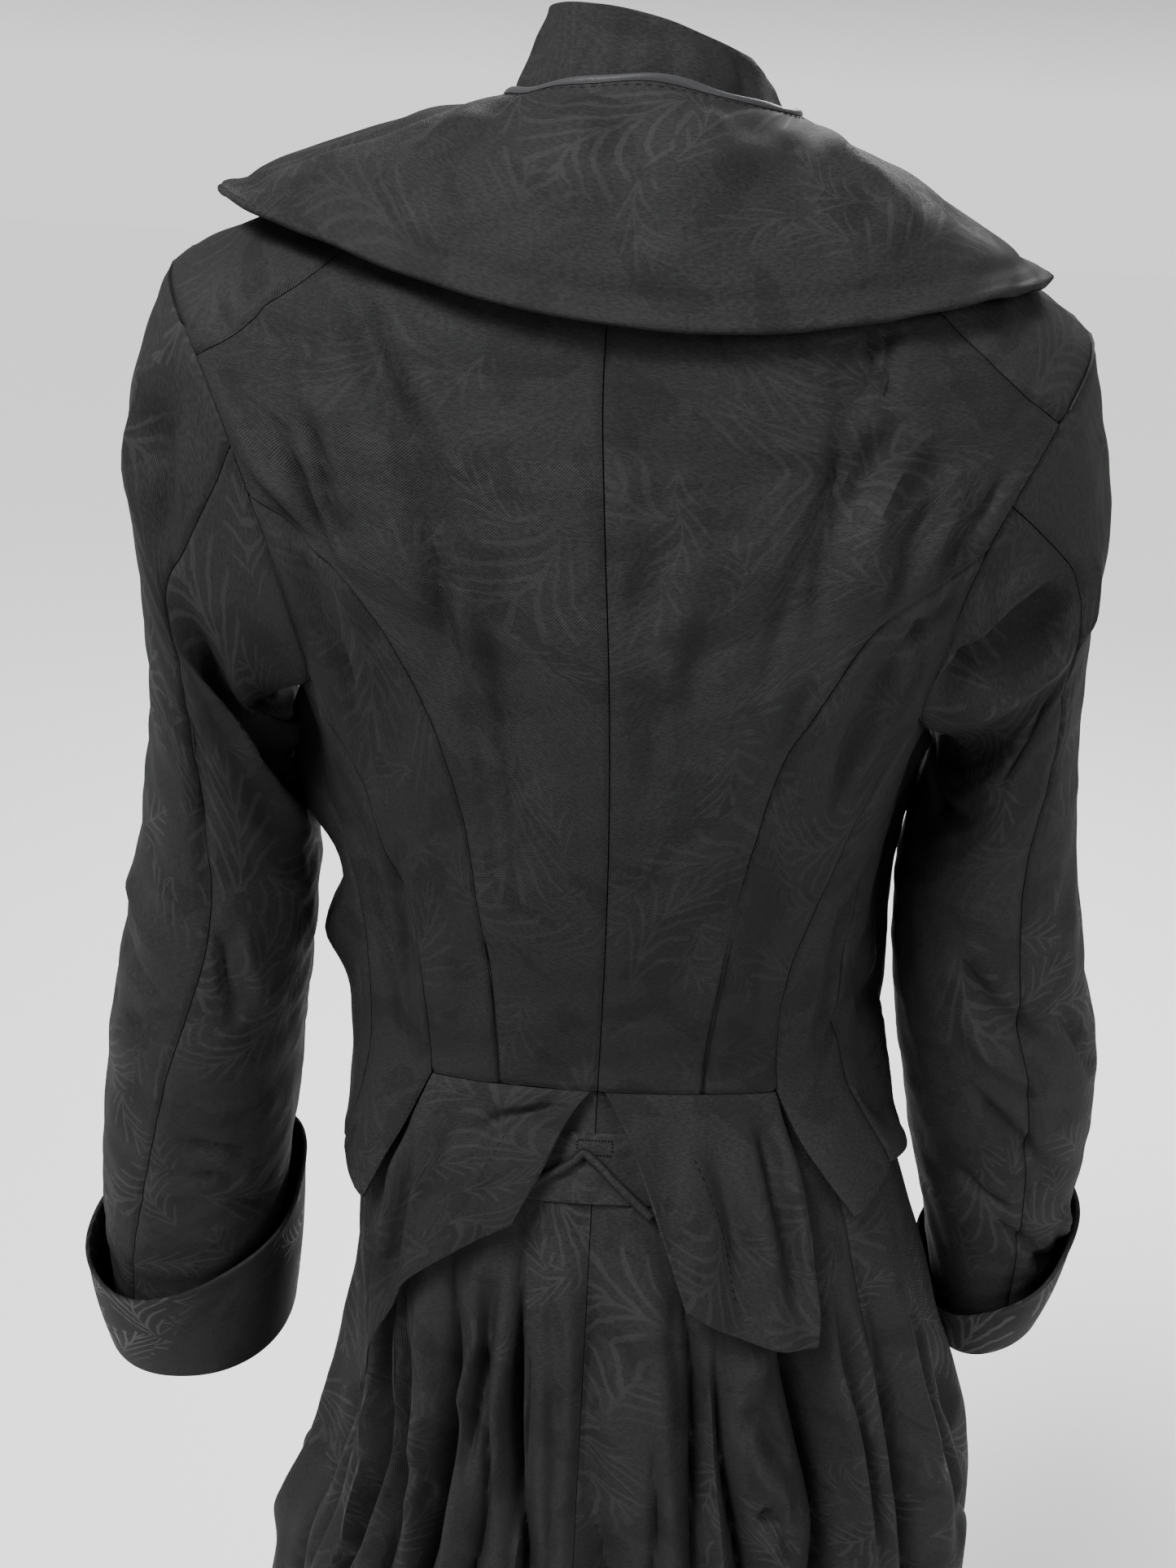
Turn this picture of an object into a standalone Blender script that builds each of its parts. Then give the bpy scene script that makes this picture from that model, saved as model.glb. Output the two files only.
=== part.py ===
"""A woman's bustled coat in figured black cloth, worn form, seen open at the neck, cuffs and hem.

The wearer faces +Y, +X is the right of someone looking at the back, and +Z is up. The origin is the middle of
the neck opening, at the root of the neck, where the wearer's neck and shoulders hold the coat.
"""

import math

import bpy
import bmesh
import numpy as np
from mathutils import Matrix, Vector
from mathutils.bvhtree import BVHTree

# Driving sizes in metres
WALL = 0.002
SEAM_GAP = 0.0003
SKIRT_UNDER_WAIST, SKIRT_UNDER = 0.004, 0.006
LAP_LIFT = 0.0036
LAP_ANGLE = 7.0
CORD_DIAMETER = 0.0045
BUTTON_DIAMETER = 0.018
BUTTON_THICKNESS = 0.005
BINDING_THICKNESS = 0.001
COLLAR_FOLD_GAP = 0.0042
BODY_SLOPE, CAPE_SLOPE = 1.5, 3.6

# How the coat hangs on the wearer: a shift and a drop to the right at the top
TOP_SHIFT = -0.003
TOP_SHEAR = -0.030
POSE_TOP, POSE_BOTTOM = -0.10, -0.40

# The body's sections from the neck to the hem, one row each. The left and the right half width and the depth
# at the back and the front are from the centre line, and z back, side and front give the ring's slope.
# name, half width left, half width right, back y, front y, z back, z side, z front, centre y, squareness
BODY_ROWS = (
    ("neck", 0.053, 0.062, -0.030, 0.078, 0.018, 0.010, -0.062, 0.022, 2.1),
    ("neck root", 0.098, 0.102, -0.054, 0.092, -0.012, -0.014, -0.090, 0.022, 2.3),
    ("yoke", 0.148, 0.148, -0.074, 0.104, -0.045, -0.031, -0.118, 0.024, 2.5),
    ("shoulder", 0.186, 0.186, -0.088, 0.116, -0.080, -0.047, -0.148, 0.028, 2.6),
    ("shoulder point", 0.204, 0.204, -0.096, 0.128, -0.115, -0.066, -0.178, 0.032, 2.6),
    ("cap", 0.203, 0.199, -0.100, 0.138, -0.150, -0.105, -0.207, 0.034, 2.6),
    ("armhole", 0.184, 0.184, -0.099, 0.143, -0.190, -0.155, -0.235, 0.036, 2.5),
    ("underarm", 0.155, 0.155, -0.093, 0.143, -0.232, -0.212, -0.262, 0.038, 2.4),
    ("chest", 0.141, 0.141, -0.083, 0.137, -0.275, -0.265, -0.290, 0.038, 2.3),
    ("ribs", 0.134, 0.134, -0.068, 0.124, -0.325, -0.322, -0.330, 0.038, 2.3),
    ("above waist", 0.131, 0.133, -0.054, 0.110, -0.375, -0.378, -0.378, 0.036, 2.3),
    ("waist", 0.131, 0.140, -0.046, 0.102, -0.420, -0.433, -0.432, 0.034, 2.3),
    ("high hip", 0.131, 0.164, -0.074, 0.110, -0.470, -0.482, -0.482, 0.030, 2.2),
    ("hip", 0.132, 0.184, -0.098, 0.120, -0.530, -0.535, -0.535, 0.026, 2.2),
    ("bustle", 0.134, 0.208, -0.116, 0.130, -0.595, -0.600, -0.595, 0.022, 2.2),
    ("low bustle", 0.148, 0.234, -0.128, 0.138, -0.665, -0.670, -0.660, 0.020, 2.2),
    ("puff", 0.172, 0.243, -0.138, 0.146, -0.735, -0.735, -0.730, 0.018, 2.2),
    ("under puff", 0.186, 0.230, -0.146, 0.152, -0.800, -0.790, -0.790, 0.016, 2.2),
    ("thigh", 0.198, 0.236, -0.156, 0.160, -0.880, -0.870, -0.870, 0.014, 2.2),
    ("knee", 0.212, 0.246, -0.170, 0.172, -1.010, -1.000, -1.000, 0.012, 2.2),
    ("hem", 0.228, 0.258, -0.188, 0.186, -1.160, -1.140, -1.130, 0.010, 2.2),
)
WAIST, HEM = 11.0, 20.0

# Seams of the body as angle from the centre back in degrees, and level in BODY_ROWS
CENTRE_BACK = ((-3.0, 0.0), (-1.5, 2.4), (-0.5, 4.8), (0.0, 8.0), (0.0, WAIST))
SHOULDER_SEAM = ((52.0, 0.0), (47.5, 1.2), (46.0, 2.3), (47.5, 3.1), (54.0, 3.8))
PRINCESS = ((42.0, 4.9), (35.0, 5.1), (28.0, 5.4), (24.3, 5.9), (23.0, 6.6), (23.0, 7.6), (22.3, 8.6), (20.5, 9.8),
            (18.5, WAIST))
SIDE_BACK = ((54.0, 6.9), (51.0, 7.6), (46.0, 8.4), (40.0, 9.2), (37.5, 10.0), (36.3, WAIST))
SIDE = {
    "L": ((90.0, 7.3), (74.0, 8.2), (62.0, 9.3), (60.0, 10.2), (63.0, WAIST), (70.0, 11.7), (78.0, 12.2)),
    "R": ((90.0, 7.3), (74.0, 8.2), (61.0, 9.3), (60.0, 10.2), (63.0, WAIST), (66.0, 11.5), (67.0, 11.95)),
}
FLAP_BACK = {
    "L": ((36.3, WAIST), (45.0, 11.6), (58.0, 12.4)),
    "R": ((36.3, WAIST), (41.0, 11.6), (48.0, 12.2)),
}
NECK_SEAM_ANGLE = 52.0
FRONT_HEM_LEVEL = 12.7

# The armhole in the body: angle at its middle, reach to the back and the front, how round each side is,
# top and bottom level
ARMHOLE_ANGLE, ARMHOLE_BACK, ARMHOLE_FRONT = 90.0, 49.0, 30.0
ARMHOLE_BACK_ROUND, ARMHOLE_FRONT_ROUND = 0.65, 1.0
ARMHOLE_TOP, ARMHOLE_BOTTOM = 3.4, 7.3
ARMHOLE_STEPS = 28
SHOULDER_STEP, PRINCESS_STEP, SIDE_BACK_STEP, UNDERARM_STEP = 3, 6, 11, 14

# Sleeve sections, one row each: outer point x and z, inner point x and z, middle y, half depth, drop at the back
SLEEVE_ROWS = {
    "R": (
        (0.211, -0.104, 0.162, -0.251, 0.030, 0.078, 0.000),
        (0.215, -0.165, 0.157, -0.280, 0.032, 0.074, 0.000),
        (0.221, -0.235, 0.151, -0.312, 0.034, 0.067, 0.000),
        (0.231, -0.300, 0.149, -0.348, 0.036, 0.060, 0.004),
        (0.248, -0.370, 0.154, -0.400, 0.042, 0.056, 0.008),
        (0.268, -0.435, 0.166, -0.455, 0.052, 0.055, 0.010),
        (0.276, -0.500, 0.180, -0.510, 0.064, 0.053, 0.010),
        (0.275, -0.560, 0.198, -0.575, 0.072, 0.047, 0.010),
        (0.272, -0.592, 0.208, -0.622, 0.074, 0.042, 0.008),
        (0.272, -0.618, 0.212, -0.650, 0.076, 0.042, 0.006),
    ),
    "L": (
        (0.216, -0.104, 0.162, -0.251, 0.030, 0.078, 0.000),
        (0.218, -0.165, 0.157, -0.280, 0.032, 0.074, 0.000),
        (0.219, -0.235, 0.151, -0.312, 0.032, 0.068, 0.000),
        (0.229, -0.300, 0.148, -0.348, 0.032, 0.063, 0.004),
        (0.247, -0.375, 0.153, -0.396, 0.034, 0.060, 0.010),
        (0.263, -0.445, 0.160, -0.445, 0.040, 0.058, 0.016),
        (0.274, -0.515, 0.166, -0.500, 0.048, 0.056, 0.018),
        (0.280, -0.572, 0.176, -0.560, 0.055, 0.052, 0.016),
        (0.280, -0.622, 0.179, -0.620, 0.058, 0.052, 0.010),
        (0.283, -0.664, 0.178, -0.656, 0.060, 0.053, 0.006),
    ),
}
# The cuff's upper rim, in the same columns
CUFF_RIM = {
    "R": (0.280, -0.552, 0.200, -0.618, 0.070, 0.054, 0.010),
    "L": (0.290, -0.598, 0.168, -0.562, 0.056, 0.062, 0.020),
}
SLEEVE_SQUARENESS = 2.2
# The direction that settles which way a rim face is split
RIM_ORDER = np.array((0.37, 0.51, 0.78))
# Where the sleeve's two seams run, as steps of the armhole, level by level along the sleeve
HIND_SEAM = {
    "L": ((5.0, 0.0), (6.8, 0.8), (6.7, 2.0), (6.3, 2.8), (7.2, 4.3), (6.2, 5.8), (4.8, 8.0), (4.4, 10.0)),
    "R": ((5.0, 0.0), (5.5, 0.8), (6.2, 1.4), (5.5, 2.4), (6.3, 3.5), (6.4, 4.8), (6.5, 6.6), (6.6, 10.0)),
}
FORE_SEAM = ((19.0, 0.0), (17.5, 2.0), (16.0, 5.0), (16.0, 10.0))

# Collar sections: half width, back y, front y, z back, z side, z front, centre y, squareness
STAND_ROWS = (
    (0.0570, -0.0300, 0.078, 0.0188, 0.0116, -0.0555, 0.022, 2.1),
    (0.0480, -0.0230, 0.072, 0.0340, 0.0270, -0.038, 0.022, 2.1),
    (0.0420, -0.0150, 0.066, 0.0490, 0.0420, -0.016, 0.022, 2.1),
)
STAND_END = 166.0
# How much lower the stand's upper edge and the cape collar's lower edge are on the right, for each metre across
STAND_TILT, CAPE_TILT = 0.22, 0.03
# How far right the collars' middle is at the neck
COLLAR_SHIFT = 0.0045
CAPE_ROWS = (
    (0.0580, -0.0320, 0.086, 0.0300, 0.0220, -0.050, 0.020, 2.0),
    (0.0760, -0.0450, 0.100, 0.0200, 0.0150, -0.078, 0.020, 2.0),
    (0.1080, -0.0620, 0.124, 0.0010, 0.0030, -0.124, 0.020, 2.1),
    (0.1430, -0.0780, 0.142, -0.0260, -0.0125, -0.180, 0.020, 2.1),
    (0.1730, -0.0890, 0.158, -0.0520, -0.0285, -0.240, 0.022, 2.1),
)
CAPE_END = 150.0
BINDING_LEVEL = 0.3

# Peplum tails: outer edge, inner edge and hem as angle and level
PEPLUM = {
    "L": {
        "outer": ((36.0, WAIST), (46.0, 11.9), (52.5, 12.7), (56.0, 13.4), (57.5, 14.1)),
        "inner": ((0.8, WAIST), (4.0, 11.25), (8.5, 11.65), (14.0, 12.1)),
        "hem": ((57.5, 14.1), (49.5, 13.45), (41.0, 12.9), (31.0, 12.55), (14.0, 12.1)),
    },
    "R": {
        "outer": ((36.0, WAIST), (37.0, 11.8), (37.0, 12.5), (35.5, 13.15)),
        "inner": ((0.8, WAIST), (7.0, 11.7), (10.5, 12.2), (13.5, 12.7)),
        "hem": ((35.5, 13.15), (29.0, 13.1), (21.5, 12.95), (13.5, 12.7)),
    },
}
PEPLUM_EDGE_LIFT = 0.006
TAB_HALF_ANGLE, TAB_TOP, TAB_BOTTOM = 14.0, 11.38, 11.95
TAB_LIFT, TAB_THICKNESS = -0.0036, 0.0016
# The rouleau cord's route as angle and level
CORD_ROUTE = ((-11.0, 11.82), (-8.5, 11.74), (-5.5, 11.68), (-3.0, 11.6), (-1.5, 11.54), (0.0, 11.6), (2.5, 11.74),
              (5.5, 11.88), (8.5, 12.02))

# Skirt folds, one row each: angle at the waist, at level 15 and at the hem, depth, half width in degrees,
# level where the fold starts
SKIRT_FOLDS = (
    (-16.5, -9.5, -10.0, 0.022, 3.6, 11.7),
    (-24.0, -20.0, -20.0, 0.012, 3.5, 12.2),
    (-31.0, -31.5, -31.0, 0.028, 4.0, 12.0),
    (-50.0, -44.0, -46.0, 0.018, 4.2, 12.4),
    (-60.0, -54.0, -58.0, 0.018, 4.8, 12.4),
    (-74.0, -72.0, -76.0, 0.016, 5.5, 13.0),
    (0.0, 2.5, 2.0, 0.026, 3.4, 11.7),
    (8.0, 8.5, 9.0, 0.012, 3.0, 12.6),
    (13.0, 15.5, 17.0, 0.024, 2.8, 12.0),
    (18.5, 20.5, 24.0, 0.020, 2.6, 12.2),
    (33.0, 34.0, 38.0, 0.034, 5.4, 12.0),
    (52.0, 53.0, 58.0, 0.018, 4.8, 12.2),
    (74.0, 78.0, 82.0, 0.018, 6.0, 12.8),
    (98.0, 102.0, 104.0, 0.016, 6.0, 13.2),
    (120.0, 122.0, 124.0, 0.014, 6.5, 13.4),
    (142.0, 144.0, 146.0, 0.012, 6.5, 13.6),
    (163.0, 164.0, 165.0, 0.012, 6.0, 13.8),
    (-98.0, -100.0, -102.0, 0.014, 6.0, 13.2),
    (-120.0, -122.0, -124.0, 0.012, 6.5, 13.4),
    (-142.0, -144.0, -146.0, 0.014, 6.5, 13.6),
    (-163.0, -164.0, -165.0, 0.012, 6.0, 13.8),
)
FOLD_BEND_LEVEL = 15.0
SKIRT_SEAMS = (0.0, 50.0, 105.0, 180.0)
SKIRT_STEPS = (22, 12, 10)
# How far to each side, in degrees, the skirt's wall evens out its normals
SKIRT_REACH = 1.2
SKIRT_LEVELS = (11.05, 11.3, 11.7, 12.3, 13.2, 14.2, 15.2, 16.2, 17.6, 20.0)
BUTTON_LEVELS = (2.6, 4.6, 6.6, 8.6, 10.6)


def spline(rows, level):
    """Reads a table of rows at any level, on the smooth curve through the rows (Catmull-Rom)."""
    rows = np.asarray(rows, float)
    level = np.clip(np.asarray(level, float), 0, len(rows) - 1)
    low = np.minimum(level.astype(int), len(rows) - 2)
    t = (level - low).reshape(level.shape + (1,) * (rows.ndim - 1))
    before = rows[np.maximum(low - 1, 0)]
    first, second = rows[low], rows[low + 1]
    after = rows[np.minimum(low + 2, len(rows) - 1)]
    bend = 2 * before - 5 * first + 4 * second - after
    twist = 3 * (first - second) + after - before
    return first + 0.5 * t * (second - before + t * (bend + t * twist))


def along(points, count):
    """Spreads count + 1 points evenly over the smooth curve through the given ones."""
    fine = spline(points, np.linspace(0, len(points) - 1, 40 * len(points)))
    run = np.concatenate([[0], np.cumsum(np.linalg.norm(np.diff(fine, axis=0) * (1.0, 12.0), axis=1))])
    wanted = np.linspace(0, run[-1], count + 1)
    return np.stack([np.interp(wanted, run, fine[:, i]) for i in range(fine.shape[1])], axis=1)


def smooth_step(value, start, end):
    t = np.clip((value - start) / (end - start), 0, 1)
    return t * t * (3 - 2 * t)


def power(value, exponent):
    return np.sign(value) * np.abs(value) ** exponent


def posed(points):
    """Shifts and shears the upper coat to hang as it does on the wearer."""
    share = smooth_step(points[..., 2], POSE_BOTTOM, POSE_TOP)
    moved = points.copy()
    moved[..., 0] += TOP_SHIFT * share
    moved[..., 2] += TOP_SHEAR * share * points[..., 0]
    return moved


def ring(columns, angle, steepness):
    """A superellipse section: columns left, right, back, front, z back, z side, z front, centre y, squareness.

    Its height runs from z side to z back or z front with a power of the cosine, the steepness.
    """
    left, right, back, front, z_back, z_side, z_front, centre, square = np.moveaxis(columns, -1, 0)
    turn = np.radians(angle)
    sine, cosine = power(np.sin(turn), 2 / square), power(np.cos(turn), 2 / square)
    x = np.where(sine < 0, left, right) * sine
    y = np.where(cosine > 0, centre - (centre - back) * cosine, centre - (front - centre) * cosine)
    slope = np.abs(np.cos(turn)) ** steepness
    z = z_side + np.where(cosine > 0, z_back - z_side, z_front - z_side) * slope
    return np.stack([x, y, z], axis=-1)


def body(angle, level):
    """The coat's outer form: a section at each level, splined down the body and posed."""
    return posed(ring(spline([row[1:] for row in BODY_ROWS], level), angle, BODY_SLOPE))


def collar_form(rows, angle, level, slope):
    """A collar's outer form, from its sections, symmetric left and right."""
    rows = np.asarray(rows, float)
    columns = spline(np.concatenate([rows[:, :1], rows], axis=1), level)
    return posed(ring(columns, angle, slope))


def normals(form, first, second, reach=0.02):
    """Unit normals of a form of two parameters, outwards where the first turns and the second runs down.

    The reach is how far to each side the first is read, so a longer one evens a narrow fold out.
    """
    step = 0.02
    across = form(first + reach, second) - form(first - reach, second)
    down = form(first, second + step) - form(first, second - step)
    found = np.cross(down, across)
    return found / np.maximum(np.linalg.norm(found, axis=-1, keepdims=True), 1e-12)


def side_sign(side):
    return 1.0 if side == "R" else -1.0


def armhole(step, side):
    """Angle and level of the armhole's edge. Steps start at the top and run down the back of the arm."""
    turn = 2 * np.pi * np.asarray(step, float) / ARMHOLE_STEPS
    back = ARMHOLE_BACK * power(np.sin(turn), ARMHOLE_BACK_ROUND)
    front = ARMHOLE_FRONT * power(np.sin(turn), ARMHOLE_FRONT_ROUND)
    angle = ARMHOLE_ANGLE - np.where(np.sin(turn) > 0, back, front)
    middle, half = (ARMHOLE_TOP + ARMHOLE_BOTTOM) / 2, (ARMHOLE_BOTTOM - ARMHOLE_TOP) / 2
    return np.stack([side_sign(side) * angle, middle - half * np.cos(turn)], axis=-1)


def arm_ring(row, step, side):
    """One section across the arm: step 0 is its outer point, a quarter round is its back."""
    out_x, out_z, in_x, in_z, middle_y, half_depth, drop = row
    turn = 2 * np.pi * np.asarray(step, float) / ARMHOLE_STEPS
    cosine = power(np.cos(turn), 2 / SLEEVE_SQUARENESS)
    sine = power(np.sin(turn), 2 / SLEEVE_SQUARENESS)
    x = (out_x + in_x) / 2 + (out_x - in_x) / 2 * cosine
    z = (out_z + in_z) / 2 + (out_z - in_z) / 2 * cosine - drop * sine
    y = middle_y - half_depth * sine
    return posed(np.stack([side_sign(side) * x, y, z], axis=-1))


def sleeve(step, level, side):
    """The sleeve's outer form, splined from the armhole's edge through the arm sections."""
    step, level = np.broadcast_arrays(np.asarray(step, float), np.asarray(level, float))
    edge = armhole(step, side)
    rings = [body(edge[..., 0], edge[..., 1])]
    rings += [arm_ring(row, step, side) for row in SLEEVE_ROWS[side]]
    stacked = np.stack(rings)
    low = np.minimum(np.clip(level, 0, len(rings) - 1).astype(int), len(rings) - 2)
    t = (np.clip(level, 0, len(rings) - 1) - low)[..., None]

    def pick(index):
        index = np.clip(index, 0, len(rings) - 1)
        return np.take_along_axis(stacked, index[None, ..., None], axis=0)[0]

    before, first, second, after = pick(low - 1), pick(low), pick(low + 1), pick(low + 2)
    bend = 2 * before - 5 * first + 4 * second - after
    twist = 3 * (first - second) + after - before
    return first + 0.5 * t * (second - before + t * (bend + t * twist))


def sleeve_normals(step, level, side):
    """The sleeve's outward normals. On the left the steps turn the other way round."""
    found = normals(lambda a, b: sleeve(a, b, side), step, np.maximum(level, 0.03))
    return -found * side_sign(side)


def mitre(step, side):
    """The shared normal at the armhole seam, half way between the body's and the sleeve's."""
    edge = armhole(step, side)
    both = normals(body, edge[..., 0], edge[..., 1]) + sleeve_normals(step, np.zeros(np.shape(step)), side)
    return both / np.linalg.norm(both, axis=-1, keepdims=True)


def body_normals(angle, level):
    """The body's normals, turned to the mitre close to an armhole."""
    found = normals(body, angle, level)
    for side in "LR":
        off = ARMHOLE_ANGLE - side_sign(side) * angle
        half = (ARMHOLE_BOTTOM - ARMHOLE_TOP) / 2
        up = ((ARMHOLE_TOP + ARMHOLE_BOTTOM) / 2 - level) / half
        back = power(off / ARMHOLE_BACK, 1 / ARMHOLE_BACK_ROUND)
        across = np.where(off > 0, back, power(off / ARMHOLE_FRONT, 1 / ARMHOLE_FRONT_ROUND))
        step = np.arctan2(across, up) / (2 * np.pi) * ARMHOLE_STEPS
        share = np.clip(1 - (np.hypot(across, up) - 1) / 0.3, 0, 1)[..., None]
        found = found + share * (mitre(step, side) - found)
    return found / np.linalg.norm(found, axis=-1, keepdims=True)


def patch(top, bottom, left, right):
    """Fills four edges with a grid of angle and level (a Coons patch). Left and right run down."""
    s = np.linspace(0, 1, len(top))[None, :, None]
    t = np.linspace(0, 1, len(left))[:, None, None]
    ruled = (1 - t) * top[None] + t * bottom[None] + (1 - s) * left[:, None] + s * right[:, None]
    corners = (1 - t) * ((1 - s) * top[0] + s * top[-1]) + t * ((1 - s) * bottom[0] + s * bottom[-1])
    return ruled - corners


def drawn_in(points, gap):
    """Draws a grid of points in from its edges by the gap, along its own rows and columns."""
    moved = points.copy()
    for axis in (0, 1):
        view = np.swapaxes(moved, 0, axis)
        original = np.swapaxes(points, 0, axis)
        for edge, inside in ((0, 1), (-1, -2)):
            step = original[inside] - original[edge]
            view[edge] += gap * step / np.maximum(np.linalg.norm(step, axis=-1, keepdims=True), 1e-9)
    return moved


def material(name, colour, roughness):
    made = bpy.data.materials.new(name)
    made.use_nodes = True
    shader = made.node_tree.nodes["Principled BSDF"]
    shader.inputs["Base Color"].default_value = (*colour, 1)
    shader.inputs["Roughness"].default_value = roughness
    shader.inputs["Metallic"].default_value = 0
    return made


def add_mesh(name, points, faces, finish, collection):
    """Adds a closed mesh with its faces outwards and its own copy of a finish."""
    mesh = bpy.data.meshes.new(name)
    mesh.from_pydata(points.tolist(), [], faces)
    shape = bmesh.new()
    shape.from_mesh(mesh)
    bmesh.ops.recalc_face_normals(shape, faces=shape.faces)
    shape.to_mesh(mesh)
    shape.free()
    mesh.shade_smooth()
    mesh.set_sharp_from_angle(angle=math.radians(40))
    mesh.materials.append(material(f"{name}_finish", *finish))
    made = bpy.data.objects.new(name, mesh)
    collection.objects.link(made)
    return made


def lofted_wall(name, outer, inner, finish, collection, closed=False):
    """A wall lofted between an outer and an inner grid, closed along its rims, or round in a ring."""
    rows, columns = outer.shape[:2]
    index = np.arange(rows * columns).reshape(rows, columns)
    if closed:
        index = np.concatenate([index, index[:, :1]], axis=1)
    other = index + rows * columns

    points = np.concatenate([outer.reshape(-1, 3), inner.reshape(-1, 3)])
    corners = (index[:-1, :-1], index[1:, :-1], index[1:, 1:], index[:-1, 1:])
    falls = np.linalg.norm(points[corners[0]] - points[corners[2]], axis=-1)
    rises = np.linalg.norm(points[corners[1]] - points[corners[3]], axis=-1)

    def halves(start):
        """Two triangles a cell, split along the outer face's shorter diagonal on both faces of the wall."""
        a, b, c, d = (corner + start for corner in corners)
        cut = falls <= rises
        first = np.stack([a, b, np.where(cut, c, d)], axis=-1)
        second = np.stack([np.where(cut, a, b), c, d], axis=-1)
        return np.concatenate([first.reshape(-1, 3), second.reshape(-1, 3)])

    def rim(near, far):
        """Triangles between two rims. Both pieces at a seam split each twisted quad the same way."""
        rising = (points[near[1:]] - points[near[:-1]]) @ RIM_ORDER > 0
        first = np.where(rising, near[:-1], near[1:])
        last = np.where(rising, far[1:], far[:-1])
        return np.concatenate([
            np.stack([first, np.where(rising, far[:-1], far[1:]), last], axis=-1),
            np.stack([first, last, np.where(rising, near[1:], near[:-1])], axis=-1),
        ])

    rims = [rim(index[0], other[0]), rim(index[-1], other[-1])]
    if not closed:
        rims += [rim(index[:, 0], other[:, 0]), rim(index[:, -1], other[:, -1])]
    layers = [halves(0), halves(rows * columns)[:, ::-1]]
    faces = np.concatenate(layers + rims).tolist()
    return add_mesh(name, points, faces, finish, collection)


def panel(name, grid, finish, collection, lift=0.0, wall=WALL):
    """A cloth piece on the body form: its outer face is lifted off the form, its inner face is a wall below."""
    angle, level = grid[..., 0], grid[..., 1]
    turned = body_normals(angle, level)
    lift = np.broadcast_to(lift, angle.shape)[..., None]
    base = drawn_in(body(angle, level) + lift * turned, SEAM_GAP / 2)
    return lofted_wall(name, base, base - wall * turned, finish, collection)


def mirrored(points, side):
    return np.asarray(points, float) * (side_sign(side), 1.0)


def seam(points, count, side):
    return along(mirrored(points, side), count)


def joined(*runs):
    """Puts runs of points end to end, dropping each repeated joint."""
    return np.concatenate([runs[0]] + [run[1:] for run in runs[1:]])


SHOULDER_STEPS, BACK_STEPS, PRINCESS_STEPS, SIDE_BACK_STEPS = 7, 8, 11, 9
SIDE_STEPS, FLAP_STEPS, NECK_FRONT_STEPS = 9, 3, 7


def shoulder_line(side):
    """The shoulder seam from the neck to the armhole, ending on the armhole's own point."""
    points = list(SHOULDER_SEAM[:-1]) + [tuple(armhole(SHOULDER_STEP, "R"))]
    return seam(points, SHOULDER_STEPS, side)


def princess_line(side):
    return seam([tuple(armhole(PRINCESS_STEP, "R"))] + list(PRINCESS[1:]), PRINCESS_STEPS, side)


def side_back_line(side):
    return seam([tuple(armhole(SIDE_BACK_STEP, "R"))] + list(SIDE_BACK[1:]), SIDE_BACK_STEPS, side)


def side_line(side):
    points = [tuple(armhole(UNDERARM_STEP, "R"))] + list(SIDE[side][1:])
    return seam(points, SIDE_STEPS + FLAP_STEPS, side)


def straight(first, last, count, side):
    return np.linspace(mirrored(first, side), mirrored(last, side), count + 1)


def back_grid(side):
    hole = armhole(np.arange(SHOULDER_STEP, PRINCESS_STEP + 1), side)
    right = joined(shoulder_line(side), hole, princess_line(side))
    left = along(CENTRE_BACK, len(right) - 1)
    top = np.linspace(left[0], right[0], BACK_STEPS + 1)
    bottom = np.linspace(left[-1], right[-1], BACK_STEPS + 1)
    return patch(top, bottom, left, right)


def side_back_grid(side):
    right = joined(armhole(np.arange(PRINCESS_STEP + 3, SIDE_BACK_STEP + 1), side), side_back_line(side))
    left = princess_line(side)
    top = armhole(np.arange(PRINCESS_STEP, PRINCESS_STEP + 4), side)
    bottom = straight(PRINCESS[-1], SIDE_BACK[-1], len(top) - 1, side)
    return patch(top, bottom, left, right)


def side_grid(side):
    left = joined(side_back_line(side), seam(FLAP_BACK[side], FLAP_STEPS, side))
    right = side_line(side)
    top = armhole(np.arange(SIDE_BACK_STEP, UNDERARM_STEP + 1), side)
    bottom = straight(FLAP_BACK[side][-1], SIDE[side][-1], len(top) - 1, side)
    return patch(top, bottom, left, right)


def front_grid(side):
    top = shoulder_line(side)[::-1]
    steps = np.arange(SHOULDER_STEP, UNDERARM_STEP - ARMHOLE_STEPS - 1, -1)
    left = joined(armhole(steps, side), side_line(side))
    centre = 180.0 + LAP_ANGLE
    neck = straight((NECK_SEAM_ANGLE, 0), (centre, 0), NECK_FRONT_STEPS, side)
    down = straight((centre, 0), (centre, FRONT_HEM_LEVEL), len(left) - 1 - NECK_FRONT_STEPS, side)
    bottom = straight(SIDE[side][-1], (centre, FRONT_HEM_LEVEL), len(top) - 1, side)
    return patch(top, bottom, left, joined(neck, down))


def flap_lift(grid):
    """The hip flap stands a little off the skirt towards its point."""
    return 0.007 * smooth_step(grid[..., 1], WAIST, FRONT_HEM_LEVEL) * smooth_step(
        np.abs(grid[..., 0]), 110, 60)


def add_body(finish, collection):
    for side in "LR":
        panel(f"back_{side}", back_grid(side), finish, collection)
        panel(f"side_back_{side}", side_back_grid(side), finish, collection)
        grid = side_grid(side)
        panel(f"side_{side}", grid, finish, collection, flap_lift(grid))
        grid = front_grid(side)
        lift = flap_lift(grid)
        if side == "R":
            lift = lift + LAP_LIFT * smooth_step(np.abs(grid[..., 0]), 160, 172)
        panel(f"front_{side}", grid, finish, collection, lift)


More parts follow.
